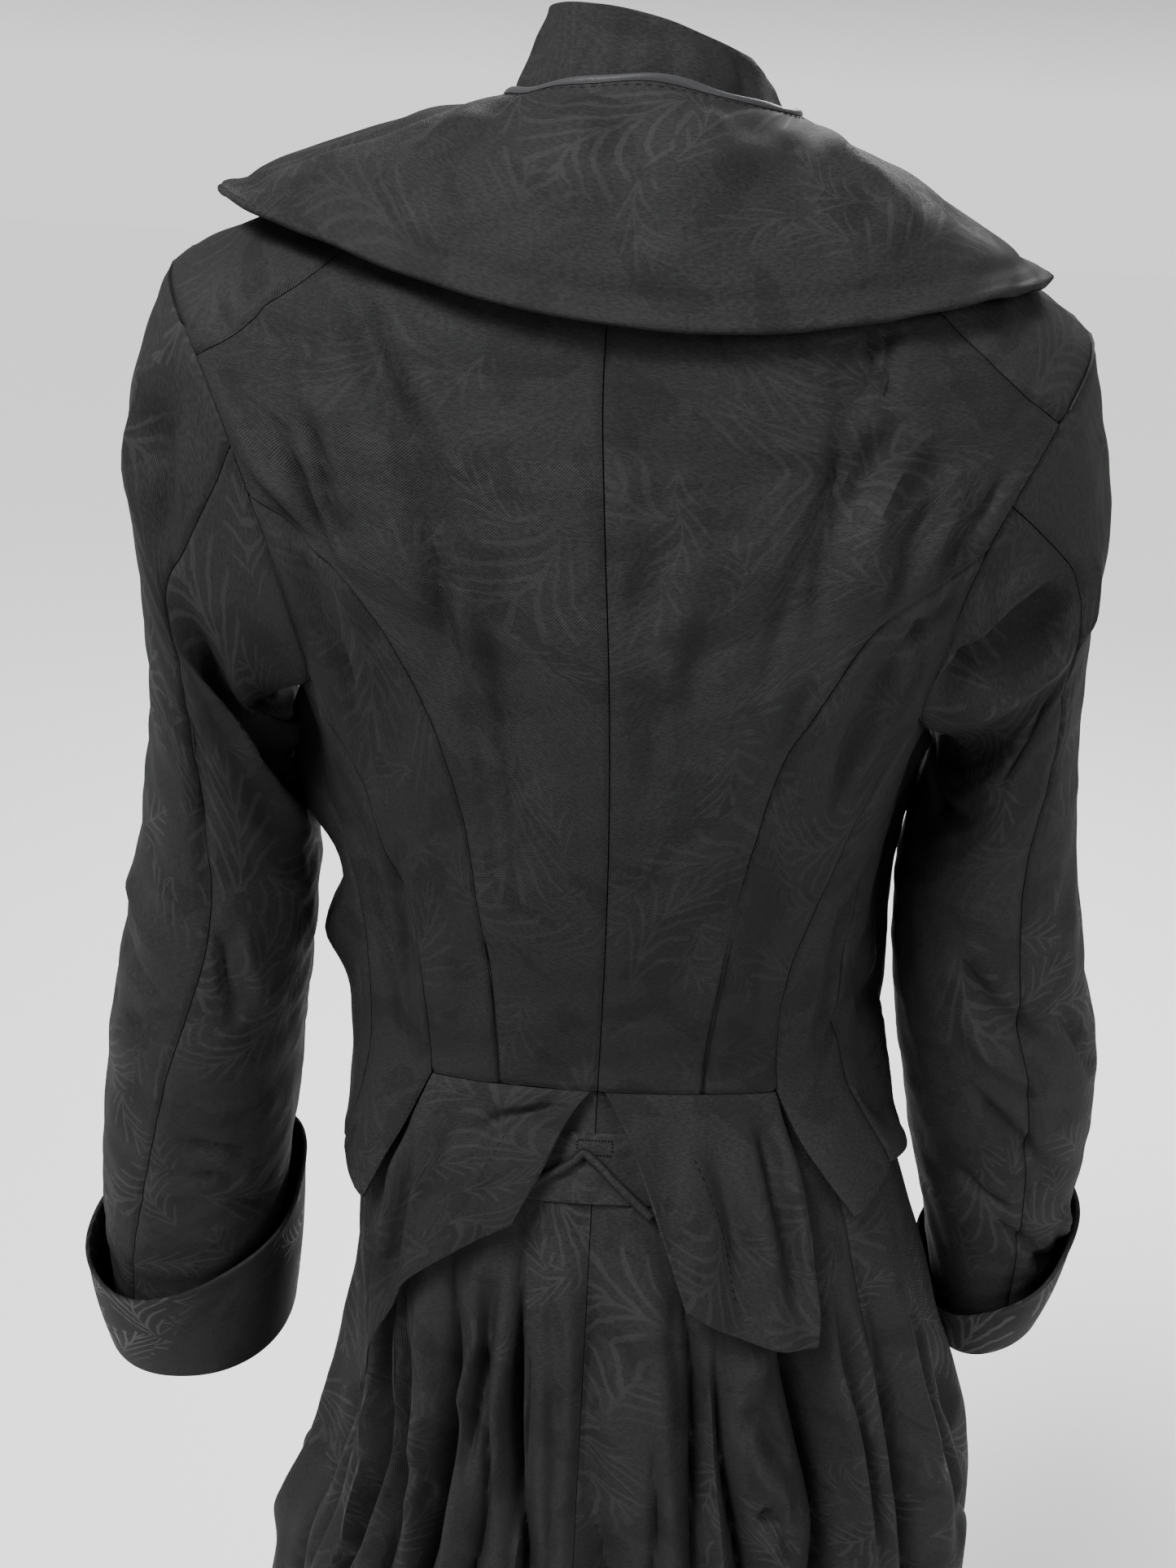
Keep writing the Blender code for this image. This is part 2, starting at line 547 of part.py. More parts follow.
def skirt_fold(angle, level):
    """How far the folds take the skirt in at each point: a soft trough for each row of SKIRT_FOLDS."""
    depth = np.zeros(np.broadcast(angle, level).shape)
    for top, bend, bottom, deep, width, start in SKIRT_FOLDS:
        middle = np.interp(level, (WAIST, FOLD_BEND_LEVEL, HEM), (top, bend, bottom))
        growth = smooth_step(level, start, start + 3.0)
        depth += deep * growth * np.exp(-(((angle - middle) / width) ** 2))
    return depth


def skirt(angle, level):
    """The skirt's outer form: the body form, let in under the tails and taken in at each fold."""
    angle, level = np.broadcast_arrays(np.asarray(angle, float), np.asarray(level, float))
    under = SKIRT_UNDER_WAIST + (SKIRT_UNDER - SKIRT_UNDER_WAIST) * smooth_step(level, WAIST + 0.05, WAIST + 0.35)
    inward = under + skirt_fold(angle, level)
    return body(angle, level) - inward[..., None] * normals(body, angle, level)


def add_skirt(finish, collection):
    names = ("skirt_back", "skirt_side", "skirt_front")
    for side in "LR":
        for name, start, end, steps in zip(names, SKIRT_SEAMS, SKIRT_SEAMS[1:], SKIRT_STEPS):
            angle = side_sign(side) * np.linspace(start, end, steps + 1)[None, :]
            level = np.asarray(SKIRT_LEVELS)[:, None]
            angle, level = np.broadcast_arrays(angle, level)
            turned = normals(skirt, angle, level, SKIRT_REACH)
            base = drawn_in(skirt(angle, level), SEAM_GAP / 2)
            lofted_wall(f"{name}_{side}", base, base - WALL * turned, finish, collection)


def add_sleeves(finish, collection):
    levels = np.array([0, 0.5, 1, 1.8, 2.8, 4, 5, 6, 7, 8.5, 10.0])
    for side in "LR":
        seam_rows = HIND_SEAM[side]
        place = np.interp(levels, [row[1] for row in seam_rows], np.arange(len(seam_rows)))
        hind = spline([row[:1] for row in seam_rows], place)[:, 0]
        fore = np.interp(levels, [row[1] for row in FORE_SEAM], [row[0] for row in FORE_SEAM])
        for name, start, end, steps in (
            ("upper_sleeve", fore - ARMHOLE_STEPS, hind, 14),
            ("under_sleeve", hind, fore, 14),
        ):
            share = np.linspace(0, 1, steps + 1)[None, :]
            step = start[:, None] + (end - start)[:, None] * share
            level = np.broadcast_to(levels[:, None], step.shape)
            turned = sleeve_normals(step, level, side)
            turned[0] = mitre(step[0], side)
            base = drawn_in(sleeve(step, level, side), SEAM_GAP / 2)
            lofted_wall(f"{name}_{side}", base, base - WALL * turned, finish, collection)


def add_cuffs(finish, collection):
    """Each cuff turns up from the sleeve's end and stands off it towards its upper rim."""
    step = np.arange(ARMHOLE_STEPS)
    last = float(len(SLEEVE_ROWS["R"]))
    for side in "LR":
        level = np.full(step.shape, last)
        turned = sleeve_normals(step, level, side)
        low = sleeve(step, level, side) + (WALL + 2 * SEAM_GAP) * turned
        rim = arm_ring(CUFF_RIM[side], step, side)
        shares = np.array([0, 0.5, 1.0])[:, None, None]
        outer = (1 - shares) * low[None] + shares * rim[None]
        outward = np.broadcast_to(turned, outer.shape)
        lofted_wall(f"cuff_{side}", outer, outer - WALL * outward, finish, collection, closed=True)


def stand(angle, level):
    """The stand collar's outer form, its upper edge lower on the right."""
    made = collar_form(STAND_ROWS, angle, level, BODY_SLOPE)
    made[..., 2] -= STAND_TILT * made[..., 0] * np.asarray(level) / (len(STAND_ROWS) - 1)
    made[..., 0] += COLLAR_SHIFT
    return made


def cape(angle, level):
    """The cape collar's outer form, from the neck down to its lower edge."""
    made = collar_form(CAPE_ROWS, angle, level, CAPE_SLOPE)
    share = np.asarray(level) / (len(CAPE_ROWS) - 1)
    made[..., 2] -= CAPE_TILT * made[..., 0] * share
    made[..., 0] += COLLAR_SHIFT * (1 - share)
    return made


def add_collars(finish, satin, collection):
    angle = np.linspace(-STAND_END, STAND_END, 29)[None, :]
    level = np.array([0, 0.6, 1.2, 2.0])[:, None]
    angle, level = np.broadcast_arrays(angle, level)
    outer = stand(angle, level)
    lofted_wall("stand_collar", outer, outer - WALL * normals(stand, angle, level), finish, collection)

    last = len(CAPE_ROWS) - 1.0
    around = np.linspace(-CAPE_END, CAPE_END, 35)
    levels = np.array([0, 0.7, 1.5, 2.4, 3.3, last])
    angle, level = np.meshgrid(around, levels)
    turned = normals(cape, angle, level)
    layer = cape(angle, level) - WALL / 2 * turned
    edge = layer[-1]
    down = edge - layer[-2]
    down /= np.linalg.norm(down, axis=-1, keepdims=True)
    half = COLLAR_FOLD_GAP / 2
    fold = edge + half * down - half * turned[-1]
    under_levels = np.array([last - 0.02, last - 0.55])
    angle, level = np.meshgrid(around, under_levels)
    under_turned = normals(cape, angle, level)
    under = cape(angle, level) - (WALL / 2 + COLLAR_FOLD_GAP) * under_turned
    middle = np.concatenate([layer, fold[None], under])
    out = np.concatenate([turned, down[None], -under_turned])
    lofted_wall("cape_collar", middle + WALL / 2 * out, middle - WALL / 2 * out, finish, collection)

    angle, level = np.meshgrid(around, np.array([0.0, BINDING_LEVEL]))
    turned = normals(cape, angle, level)
    outer = cape(angle, level) + (SEAM_GAP + BINDING_THICKNESS) * turned
    lofted_wall("collar_binding", outer, outer - BINDING_THICKNESS * turned, satin, collection)


def peplum_lift(grid):
    """The tail lies on the skirt, lifts at its inner edge and its hem, and rolls in soft waves."""
    angle, level = np.abs(grid[..., 0]), grid[..., 1]
    from_inner = np.linspace(0, 1, grid.shape[1])[None, :]
    low = smooth_step(level, WAIST, WAIST + 0.8)
    wave = 0.004 * np.sin(angle * 0.28) ** 2
    return low * (0.0015 + PEPLUM_EDGE_LIFT * (1 - from_inner) ** 2 + wave)


def add_tails(finish, collection):
    for side in "LR":
        edges = PEPLUM[side]
        inner = seam(edges["inner"], 7, side)
        outer = seam(edges["outer"], 7, side)
        hem = seam(edges["hem"], 9, side)[::-1]
        top = straight(edges["inner"][0], edges["outer"][0], 9, side)
        grid = patch(top, hem, inner, outer)
        panel(f"peplum_{side}", grid, finish, collection, peplum_lift(grid))
    top = straight((-TAB_HALF_ANGLE, TAB_TOP), (TAB_HALF_ANGLE, TAB_TOP), 6, "R")
    bottom = straight((-TAB_HALF_ANGLE, TAB_BOTTOM), (TAB_HALF_ANGLE, TAB_BOTTOM), 6, "R")
    left = straight((-TAB_HALF_ANGLE, TAB_TOP), (-TAB_HALF_ANGLE, TAB_BOTTOM), 3, "R")
    right = straight((TAB_HALF_ANGLE, TAB_TOP), (TAB_HALF_ANGLE, TAB_BOTTOM), 3, "R")
    grid = patch(top, bottom, left, right)
    panel("bustle_tab", grid, finish, collection, TAB_LIFT, TAB_THICKNESS)


def add_cord(finish, collection):
    """The rouleau cord, a round tube that lies on the tab and the skirt below it."""
    route = along(CORD_ROUTE, 26)
    turned = normals(body, route[:, 0], route[:, 1])
    lift = TAB_LIFT + SEAM_GAP + CORD_DIAMETER / 2
    centre = body(route[:, 0], route[:, 1]) + lift * turned
    curve = bpy.data.curves.new("loop_cord", "CURVE")
    curve.dimensions = "3D"
    curve.bevel_depth = CORD_DIAMETER / 2
    curve.bevel_resolution = 2
    curve.use_fill_caps = True
    line = curve.splines.new("POLY")
    line.points.add(len(centre) - 1)
    line.points.foreach_set("co", np.concatenate([centre, np.ones((len(centre), 1))], axis=1).ravel())
    curve.materials.append(material("loop_cord_finish", *finish))
    collection.objects.link(bpy.data.objects.new("loop_cord", curve))


def seat_height(carrier, at, axes, reach):
    """How far above a point the carrier's surface stands, at its highest under a round piece of that reach."""
    mesh = carrier.data
    tree = BVHTree.FromPolygons([v.co.copy() for v in mesh.vertices], [tuple(f.vertices) for f in mesh.polygons])
    side, up, out = axes
    heights = []
    for turn in np.linspace(0, 2 * np.pi, 13):
        for share in (0.0, 0.5, 1.0):
            start = at + reach * share * (np.cos(turn) * side + np.sin(turn) * up) + 0.03 * out
            hit = tree.ray_cast(Vector(start), Vector(-out), 0.06)[0]
            if hit is not None:
                heights.append(float((np.array(hit) - at) @ out))
    return max(heights)


def add_buttons(finish, collection):
    """Five covered buttons, each a flat cylinder with a rounded rim, seated on the lapped front."""
    carrier = bpy.data.objects["front_R"]
    for number, level in enumerate(BUTTON_LEVELS, 1):
        at = body(180.0, level)
        out = normals(body, np.float64(180.0), np.float64(level))
        side = np.cross((0.0, 0.0, 1.0), out)
        side /= np.linalg.norm(side)
        up = np.cross(out, side)
        bpy.ops.mesh.primitive_cylinder_add(vertices=16, radius=BUTTON_DIAMETER / 2, depth=BUTTON_THICKNESS)
        button = bpy.context.object
        button.name = button.data.name = f"button_{number}"
        height = seat_height(carrier, at, (side, up, out), BUTTON_DIAMETER / 2)
        button.location = at + (height + SEAM_GAP + BUTTON_THICKNESS / 2) * out
        button.rotation_euler = Matrix((side, up, out)).transposed().to_euler()
        rim = button.modifiers.new("rim", "BEVEL")
        rim.width, rim.segments = 0.0014, 1
        rim.limit_method, rim.angle_limit = "ANGLE", math.radians(40)
        button.data.materials.append(material(f"button_{number}_finish", *finish))
        for owner in list(button.users_collection):
            owner.objects.unlink(button)
        collection.objects.link(button)


def main():
    for thing in list(bpy.data.objects):
        bpy.data.objects.remove(thing, do_unlink=True)
    coat = bpy.data.collections.new("bustled_coat")
    bpy.context.scene.collection.children.link(coat)
    cloth = ((0.018, 0.018, 0.019), 0.6)
    satin = ((0.045, 0.045, 0.048), 0.4)
    add_body(cloth, coat)
    add_sleeves(cloth, coat)
    add_cuffs(cloth, coat)
    add_collars(cloth, satin, coat)
    add_tails(cloth, coat)
    add_cord(cloth, coat)
    add_skirt(cloth, coat)
    add_buttons(cloth, coat)


if __name__ == "__main__":
    main()
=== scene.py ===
"""The looks of a bustled coat: figured cloth, folds, seams, collars, cuffs, tails, cord and buttons."""

import math

import bmesh
import bpy
import numpy as np
from bpy.props import FloatProperty, FloatVectorProperty, PointerProperty
from bpy.types import Operator, Panel, PropertyGroup
from mathutils import Matrix, Vector


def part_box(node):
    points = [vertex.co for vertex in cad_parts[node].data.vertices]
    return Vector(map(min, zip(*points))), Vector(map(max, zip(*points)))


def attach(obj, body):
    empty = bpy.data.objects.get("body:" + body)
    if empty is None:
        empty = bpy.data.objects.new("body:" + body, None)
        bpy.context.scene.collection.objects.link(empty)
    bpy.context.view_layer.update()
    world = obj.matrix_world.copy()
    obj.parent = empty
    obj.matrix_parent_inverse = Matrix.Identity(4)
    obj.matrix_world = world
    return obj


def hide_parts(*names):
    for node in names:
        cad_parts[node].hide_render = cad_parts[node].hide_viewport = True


bl_info = {
    "name": "Bustled coat",
    "version": (1, 0, 0),
    "blender": (4, 5, 0),
    "location": "3D View > Sidebar > Coat",
    "description": "Dresses the packed coat in figured cloth, with folds, collars, cuffs, tails and buttons",
    "category": "Object",
}

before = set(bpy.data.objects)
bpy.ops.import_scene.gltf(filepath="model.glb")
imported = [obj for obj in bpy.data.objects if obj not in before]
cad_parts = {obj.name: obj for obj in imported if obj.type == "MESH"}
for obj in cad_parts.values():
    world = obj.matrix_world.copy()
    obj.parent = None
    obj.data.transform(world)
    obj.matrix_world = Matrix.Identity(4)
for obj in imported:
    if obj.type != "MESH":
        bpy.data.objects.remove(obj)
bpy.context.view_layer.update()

# Sizes shared with the solids, in metres: how far the skirt lies in at the waist and below it, the right
# front's rise over the left, the button's radius and half its thickness, and the cord's gap to the tab
SKIRT_UNDER_WAIST, SKIRT_UNDER = 0.004, 0.006
LAP_LIFT, BUTTON_RADIUS, BUTTON_HALF, CORD_OFF = 0.0036, 0.009, 0.0025, 0.0003
# How far a front laps over the centre, in degrees, and the angles between which the right one rises
LAP_ANGLE, LAP_RISE = 7.0, (160, 172)
# The powers of the cosine by which a section's height runs from its side to its back or front
BODY_SLOPE, CAPE_SLOPE = 1.5, 3.6

# How the coat hangs on the wearer: a shift and a drop to the right at the top, fading out between two
# heights
TOP_SHIFT, TOP_SHEAR = -0.003, -0.030
POSE_TOP, POSE_BOTTOM = -0.10, -0.40

# The body's sections from the neck to the hem, one row each. The left and the right half width and the
# depth at the back and the front are from the centre line, and z back, side and front give the ring's
# slope. name, half width left, half width right, back y, front y, z back, z side, z front, centre y,
# squareness
BODY_ROWS = (
    ("neck", 0.053, 0.062, -0.03, 0.078, 0.018, 0.01, -0.062, 0.022, 2.1),
    ("neck root", 0.098, 0.102, -0.054, 0.092, -0.012, -0.014, -0.09, 0.022, 2.3),
    ("yoke", 0.148, 0.148, -0.074, 0.104, -0.045, -0.031, -0.118, 0.024, 2.5),
    ("shoulder", 0.186, 0.186, -0.088, 0.116, -0.08, -0.047, -0.148, 0.028, 2.6),
    ("shoulder point", 0.204, 0.204, -0.096, 0.128, -0.115, -0.066, -0.178, 0.032, 2.6),
    ("cap", 0.203, 0.199, -0.1, 0.138, -0.15, -0.105, -0.207, 0.034, 2.6),
    ("armhole", 0.184, 0.184, -0.099, 0.143, -0.19, -0.155, -0.235, 0.036, 2.5),
    ("underarm", 0.155, 0.155, -0.093, 0.143, -0.232, -0.212, -0.262, 0.038, 2.4),
    ("chest", 0.141, 0.141, -0.083, 0.137, -0.275, -0.265, -0.29, 0.038, 2.3),
    ("ribs", 0.134, 0.134, -0.068, 0.124, -0.325, -0.322, -0.33, 0.038, 2.3),
    ("above waist", 0.131, 0.133, -0.054, 0.11, -0.375, -0.378, -0.378, 0.036, 2.3),
    ("waist", 0.131, 0.14, -0.046, 0.102, -0.42, -0.433, -0.432, 0.034, 2.3),
    ("high hip", 0.131, 0.164, -0.074, 0.11, -0.47, -0.482, -0.482, 0.03, 2.2),
    ("hip", 0.132, 0.184, -0.098, 0.12, -0.53, -0.535, -0.535, 0.026, 2.2),
    ("bustle", 0.134, 0.208, -0.116, 0.13, -0.595, -0.6, -0.595, 0.022, 2.2),
    ("low bustle", 0.148, 0.234, -0.128, 0.138, -0.665, -0.67, -0.66, 0.02, 2.2),
    ("puff", 0.172, 0.243, -0.138, 0.146, -0.735, -0.735, -0.73, 0.018, 2.2),
    ("under puff", 0.186, 0.23, -0.146, 0.152, -0.8, -0.79, -0.79, 0.016, 2.2),
    ("thigh", 0.198, 0.236, -0.156, 0.16, -0.88, -0.87, -0.87, 0.014, 2.2),
    ("knee", 0.212, 0.246, -0.17, 0.172, -1.01, -1, -1, 0.012, 2.2),
    ("hem", 0.228, 0.258, -0.188, 0.186, -1.16, -1.14, -1.13, 0.01, 2.2),
)
WAIST, HEM = 11.0, 20.0

# Seams of the body as angle from the centre back in degrees, and level in BODY_ROWS
CENTRE_BACK = ((-3.0, 0.0), (-1.5, 2.4), (-0.5, 4.8), (0.0, 8.0), (0.0, WAIST))
SHOULDER_SEAM = ((52.0, 0.0), (47.5, 1.2), (46.0, 2.3), (47.5, 3.1), (54.0, 3.8))
PRINCESS = ((42.0, 4.9), (35.0, 5.1), (28.0, 5.4), (24.3, 5.9), (23.0, 6.6), (23.0, 7.6), (22.3, 8.6),
            (20.5, 9.8), (18.5, WAIST))
SIDE_BACK = ((54.0, 6.9), (51.0, 7.6), (46.0, 8.4), (40.0, 9.2), (37.5, 10.0), (36.3, WAIST))
SIDE = {
    "L": ((90.0, 7.3), (74.0, 8.2), (62.0, 9.3), (60.0, 10.2), (63.0, WAIST), (70.0, 11.7), (78.0, 12.2)),
    "R": ((90.0, 7.3), (74.0, 8.2), (61.0, 9.3), (60.0, 10.2), (63.0, WAIST), (66.0, 11.5), (67.0, 11.95)),
}
FLAP_BACK = {
    "L": ((36.3, WAIST), (45.0, 11.6), (58.0, 12.4)),
    "R": ((36.3, WAIST), (41.0, 11.6), (48.0, 12.2)),
}
NECK_SEAM_ANGLE = 52.0
FRONT_HEM_LEVEL = 12.7

# The armhole in the body: angle at its middle, reach to the back and the front, how round each side is,
# top and bottom level
ARMHOLE_ANGLE, ARMHOLE_BACK, ARMHOLE_FRONT = 90.0, 49.0, 30.0
ARMHOLE_BACK_ROUND, ARMHOLE_FRONT_ROUND = 0.65, 1.0
ARMHOLE_TOP, ARMHOLE_BOTTOM = 3.4, 7.3
ARMHOLE_MIDDLE, ARMHOLE_HALF = (ARMHOLE_TOP + ARMHOLE_BOTTOM) / 2, (ARMHOLE_BOTTOM - ARMHOLE_TOP) / 2
ARMHOLE_STEPS = 28
# The steps at which the body's seams meet the armhole, and the one where the side back's top meets its side
SHOULDER_STEP, PRINCESS_STEP, SIDE_BACK_CORNER, SIDE_BACK_STEP, UNDERARM_STEP = 3, 6, 9, 11, 14

# Sleeve sections, one row each: outer point x and z, inner point x and z, middle y, half depth, and drop at
# the back
SLEEVE_ROWS = {
    "R": (
        (0.211, -0.104, 0.162, -0.251, 0.03, 0.078, 0),
        (0.215, -0.165, 0.157, -0.28, 0.032, 0.074, 0),
        (0.221, -0.235, 0.151, -0.312, 0.034, 0.067, 0),
        (0.231, -0.3, 0.149, -0.348, 0.036, 0.06, 0.004),
        (0.248, -0.37, 0.154, -0.4, 0.042, 0.056, 0.008),
        (0.268, -0.435, 0.166, -0.455, 0.052, 0.055, 0.01),
        (0.276, -0.5, 0.18, -0.51, 0.064, 0.053, 0.01),
        (0.275, -0.56, 0.198, -0.575, 0.072, 0.047, 0.01),
        (0.272, -0.592, 0.208, -0.622, 0.074, 0.042, 0.008),
        (0.272, -0.618, 0.212, -0.65, 0.076, 0.042, 0.006),
    ),
    "L": (
        (0.216, -0.104, 0.162, -0.251, 0.03, 0.078, 0),
        (0.218, -0.165, 0.157, -0.28, 0.032, 0.074, 0),
        (0.219, -0.235, 0.151, -0.312, 0.032, 0.068, 0),
        (0.229, -0.3, 0.148, -0.348, 0.032, 0.063, 0.004),
        (0.247, -0.375, 0.153, -0.396, 0.034, 0.06, 0.01),
        (0.263, -0.445, 0.16, -0.445, 0.04, 0.058, 0.016),
        (0.274, -0.515, 0.166, -0.5, 0.048, 0.056, 0.018),
        (0.28, -0.572, 0.176, -0.56, 0.055, 0.052, 0.016),
        (0.28, -0.622, 0.179, -0.62, 0.058, 0.052, 0.01),
        (0.283, -0.664, 0.178, -0.656, 0.06, 0.053, 0.006),
    ),
}
# The cuff's upper rim, in the same columns
CUFF_RIM = {
    "R": (0.28, -0.552, 0.2, -0.618, 0.07, 0.054, 0.01),
    "L": (0.29, -0.598, 0.168, -0.562, 0.056, 0.062, 0.02),
}
SLEEVE_SQUARENESS = 2.2
# Where the sleeve's two seams run, as steps of the armhole, level by level along the sleeve
HIND_SEAM = {
    "L": ((5.0, 0.0), (6.8, 0.8), (6.7, 2.0), (6.3, 2.8), (7.2, 4.3), (6.2, 5.8), (4.8, 8.0), (4.4, 10.0)),
    "R": ((5.0, 0.0), (5.5, 0.8), (6.2, 1.4), (5.5, 2.4), (6.3, 3.5), (6.4, 4.8), (6.5, 6.6), (6.6, 10.0)),
}
FORE_SEAM = ((19.0, 0.0), (17.5, 2.0), (16.0, 5.0), (16.0, 10.0))

# Collar sections: half width, back y, front y, z back, z side, z front, centre y, squareness
STAND_ROWS = (
    (0.057, -0.03, 0.078, 0.0188, 0.0116, -0.0555, 0.022, 2.1),
    (0.048, -0.023, 0.072, 0.034, 0.027, -0.038, 0.022, 2.1),
    (0.042, -0.015, 0.066, 0.049, 0.042, -0.016, 0.022, 2.1),
)
STAND_END = 166.0
# How much lower the stand's upper edge and the cape collar's lower edge are on the right, for each metre
STAND_TILT, CAPE_TILT = 0.22, 0.03
# How far right the collars' middle is at the neck
COLLAR_SHIFT = 0.0045
CAPE_ROWS = (
    (0.058, -0.032, 0.086, 0.03, 0.022, -0.05, 0.02, 2),
    (0.076, -0.045, 0.1, 0.02, 0.015, -0.078, 0.02, 2),
    (0.108, -0.062, 0.124, 0.001, 0.003, -0.124, 0.02, 2.1),
    (0.143, -0.078, 0.142, -0.026, -0.0125, -0.18, 0.02, 2.1),
    (0.173, -0.089, 0.158, -0.052, -0.0285, -0.24, 0.022, 2.1),
)
CAPE_END = 150.0
BINDING_LEVEL = 0.3

# Peplum tails: outer edge, inner edge and hem as angle and level
PEPLUM = {
    "L": {
        "outer": ((36.0, WAIST), (46.0, 11.9), (52.5, 12.7), (56.0, 13.4), (57.5, 14.1)),
        "inner": ((0.8, WAIST), (4.0, 11.25), (8.5, 11.65), (14.0, 12.1)),
        "hem": ((57.5, 14.1), (49.5, 13.45), (41.0, 12.9), (31.0, 12.55), (14.0, 12.1)),
    },
    "R": {
        "outer": ((36.0, WAIST), (37.0, 11.8), (37.0, 12.5), (35.5, 13.15)),
        "inner": ((0.8, WAIST), (7.0, 11.7), (10.5, 12.2), (13.5, 12.7)),
        "hem": ((35.5, 13.15), (29.0, 13.1), (21.5, 12.95), (13.5, 12.7)),
    },
}
PEPLUM_EDGE_LIFT = 0.006
TAB_HALF_ANGLE, TAB_TOP, TAB_BOTTOM = 14.0, 11.38, 11.95
TAB_LIFT = -0.0036
# The rouleau cord's route as angle and level
CORD_ROUTE = ((-11.0, 11.82), (-8.5, 11.74), (-5.5, 11.68), (-3.0, 11.6), (-1.5, 11.54), (0.0, 11.6),
              (2.5, 11.74), (5.5, 11.88), (8.5, 12.02))
# A tube's end is drawn in to a ring of this share
END_RING = 0.02

# Skirt folds, one row each: angle at the waist, at level 15 and at the hem, depth, half width in degrees,
# level where the fold starts
SKIRT_FOLDS = (
    (-16.5, -9.5, -10, 0.022, 3.6, 11.7),
    (-24, -20, -20, 0.012, 3.5, 12.2),
    (-31, -31.5, -31, 0.028, 4, 12),
    (-50, -44, -46, 0.018, 4.2, 12.4),
    (-60, -54, -58, 0.018, 4.8, 12.4),
    (-74, -72, -76, 0.016, 5.5, 13),
    (0, 2.5, 2, 0.026, 3.4, 11.7),
    (8, 8.5, 9, 0.012, 3, 12.6),
    (13, 15.5, 17, 0.024, 2.8, 12),
    (18.5, 20.5, 24, 0.02, 2.6, 12.2),
    (33, 34, 38, 0.034, 5.4, 12),
    (52, 53, 58, 0.018, 4.8, 12.2),
    (74, 78, 82, 0.018, 6, 12.8),
    (98, 102, 104, 0.016, 6, 13.2),
    (120, 122, 124, 0.014, 6.5, 13.4),
    (142, 144, 146, 0.012, 6.5, 13.6),
    (163, 164, 165, 0.012, 6, 13.8),
    (-98, -100, -102, 0.014, 6, 13.2),
    (-120, -122, -124, 0.012, 6.5, 13.4),
    (-142, -144, -146, 0.014, 6.5, 13.6),
    (-163, -164, -165, 0.012, 6, 13.8),
)
FOLD_BEND_LEVEL = 15.0
SKIRT_SEAMS = (0.0, 50.0, 105.0, 180.0)
BUTTON_LEVELS = (2.6, 4.6, 6.6, 8.6, 10.6)

# Lengths that turn body and sleeve coordinates into metres of cloth
LEVEL_LENGTH = 0.043
STEP_LENGTH, SLEEVE_LEVEL_LENGTH = 0.014, 0.062

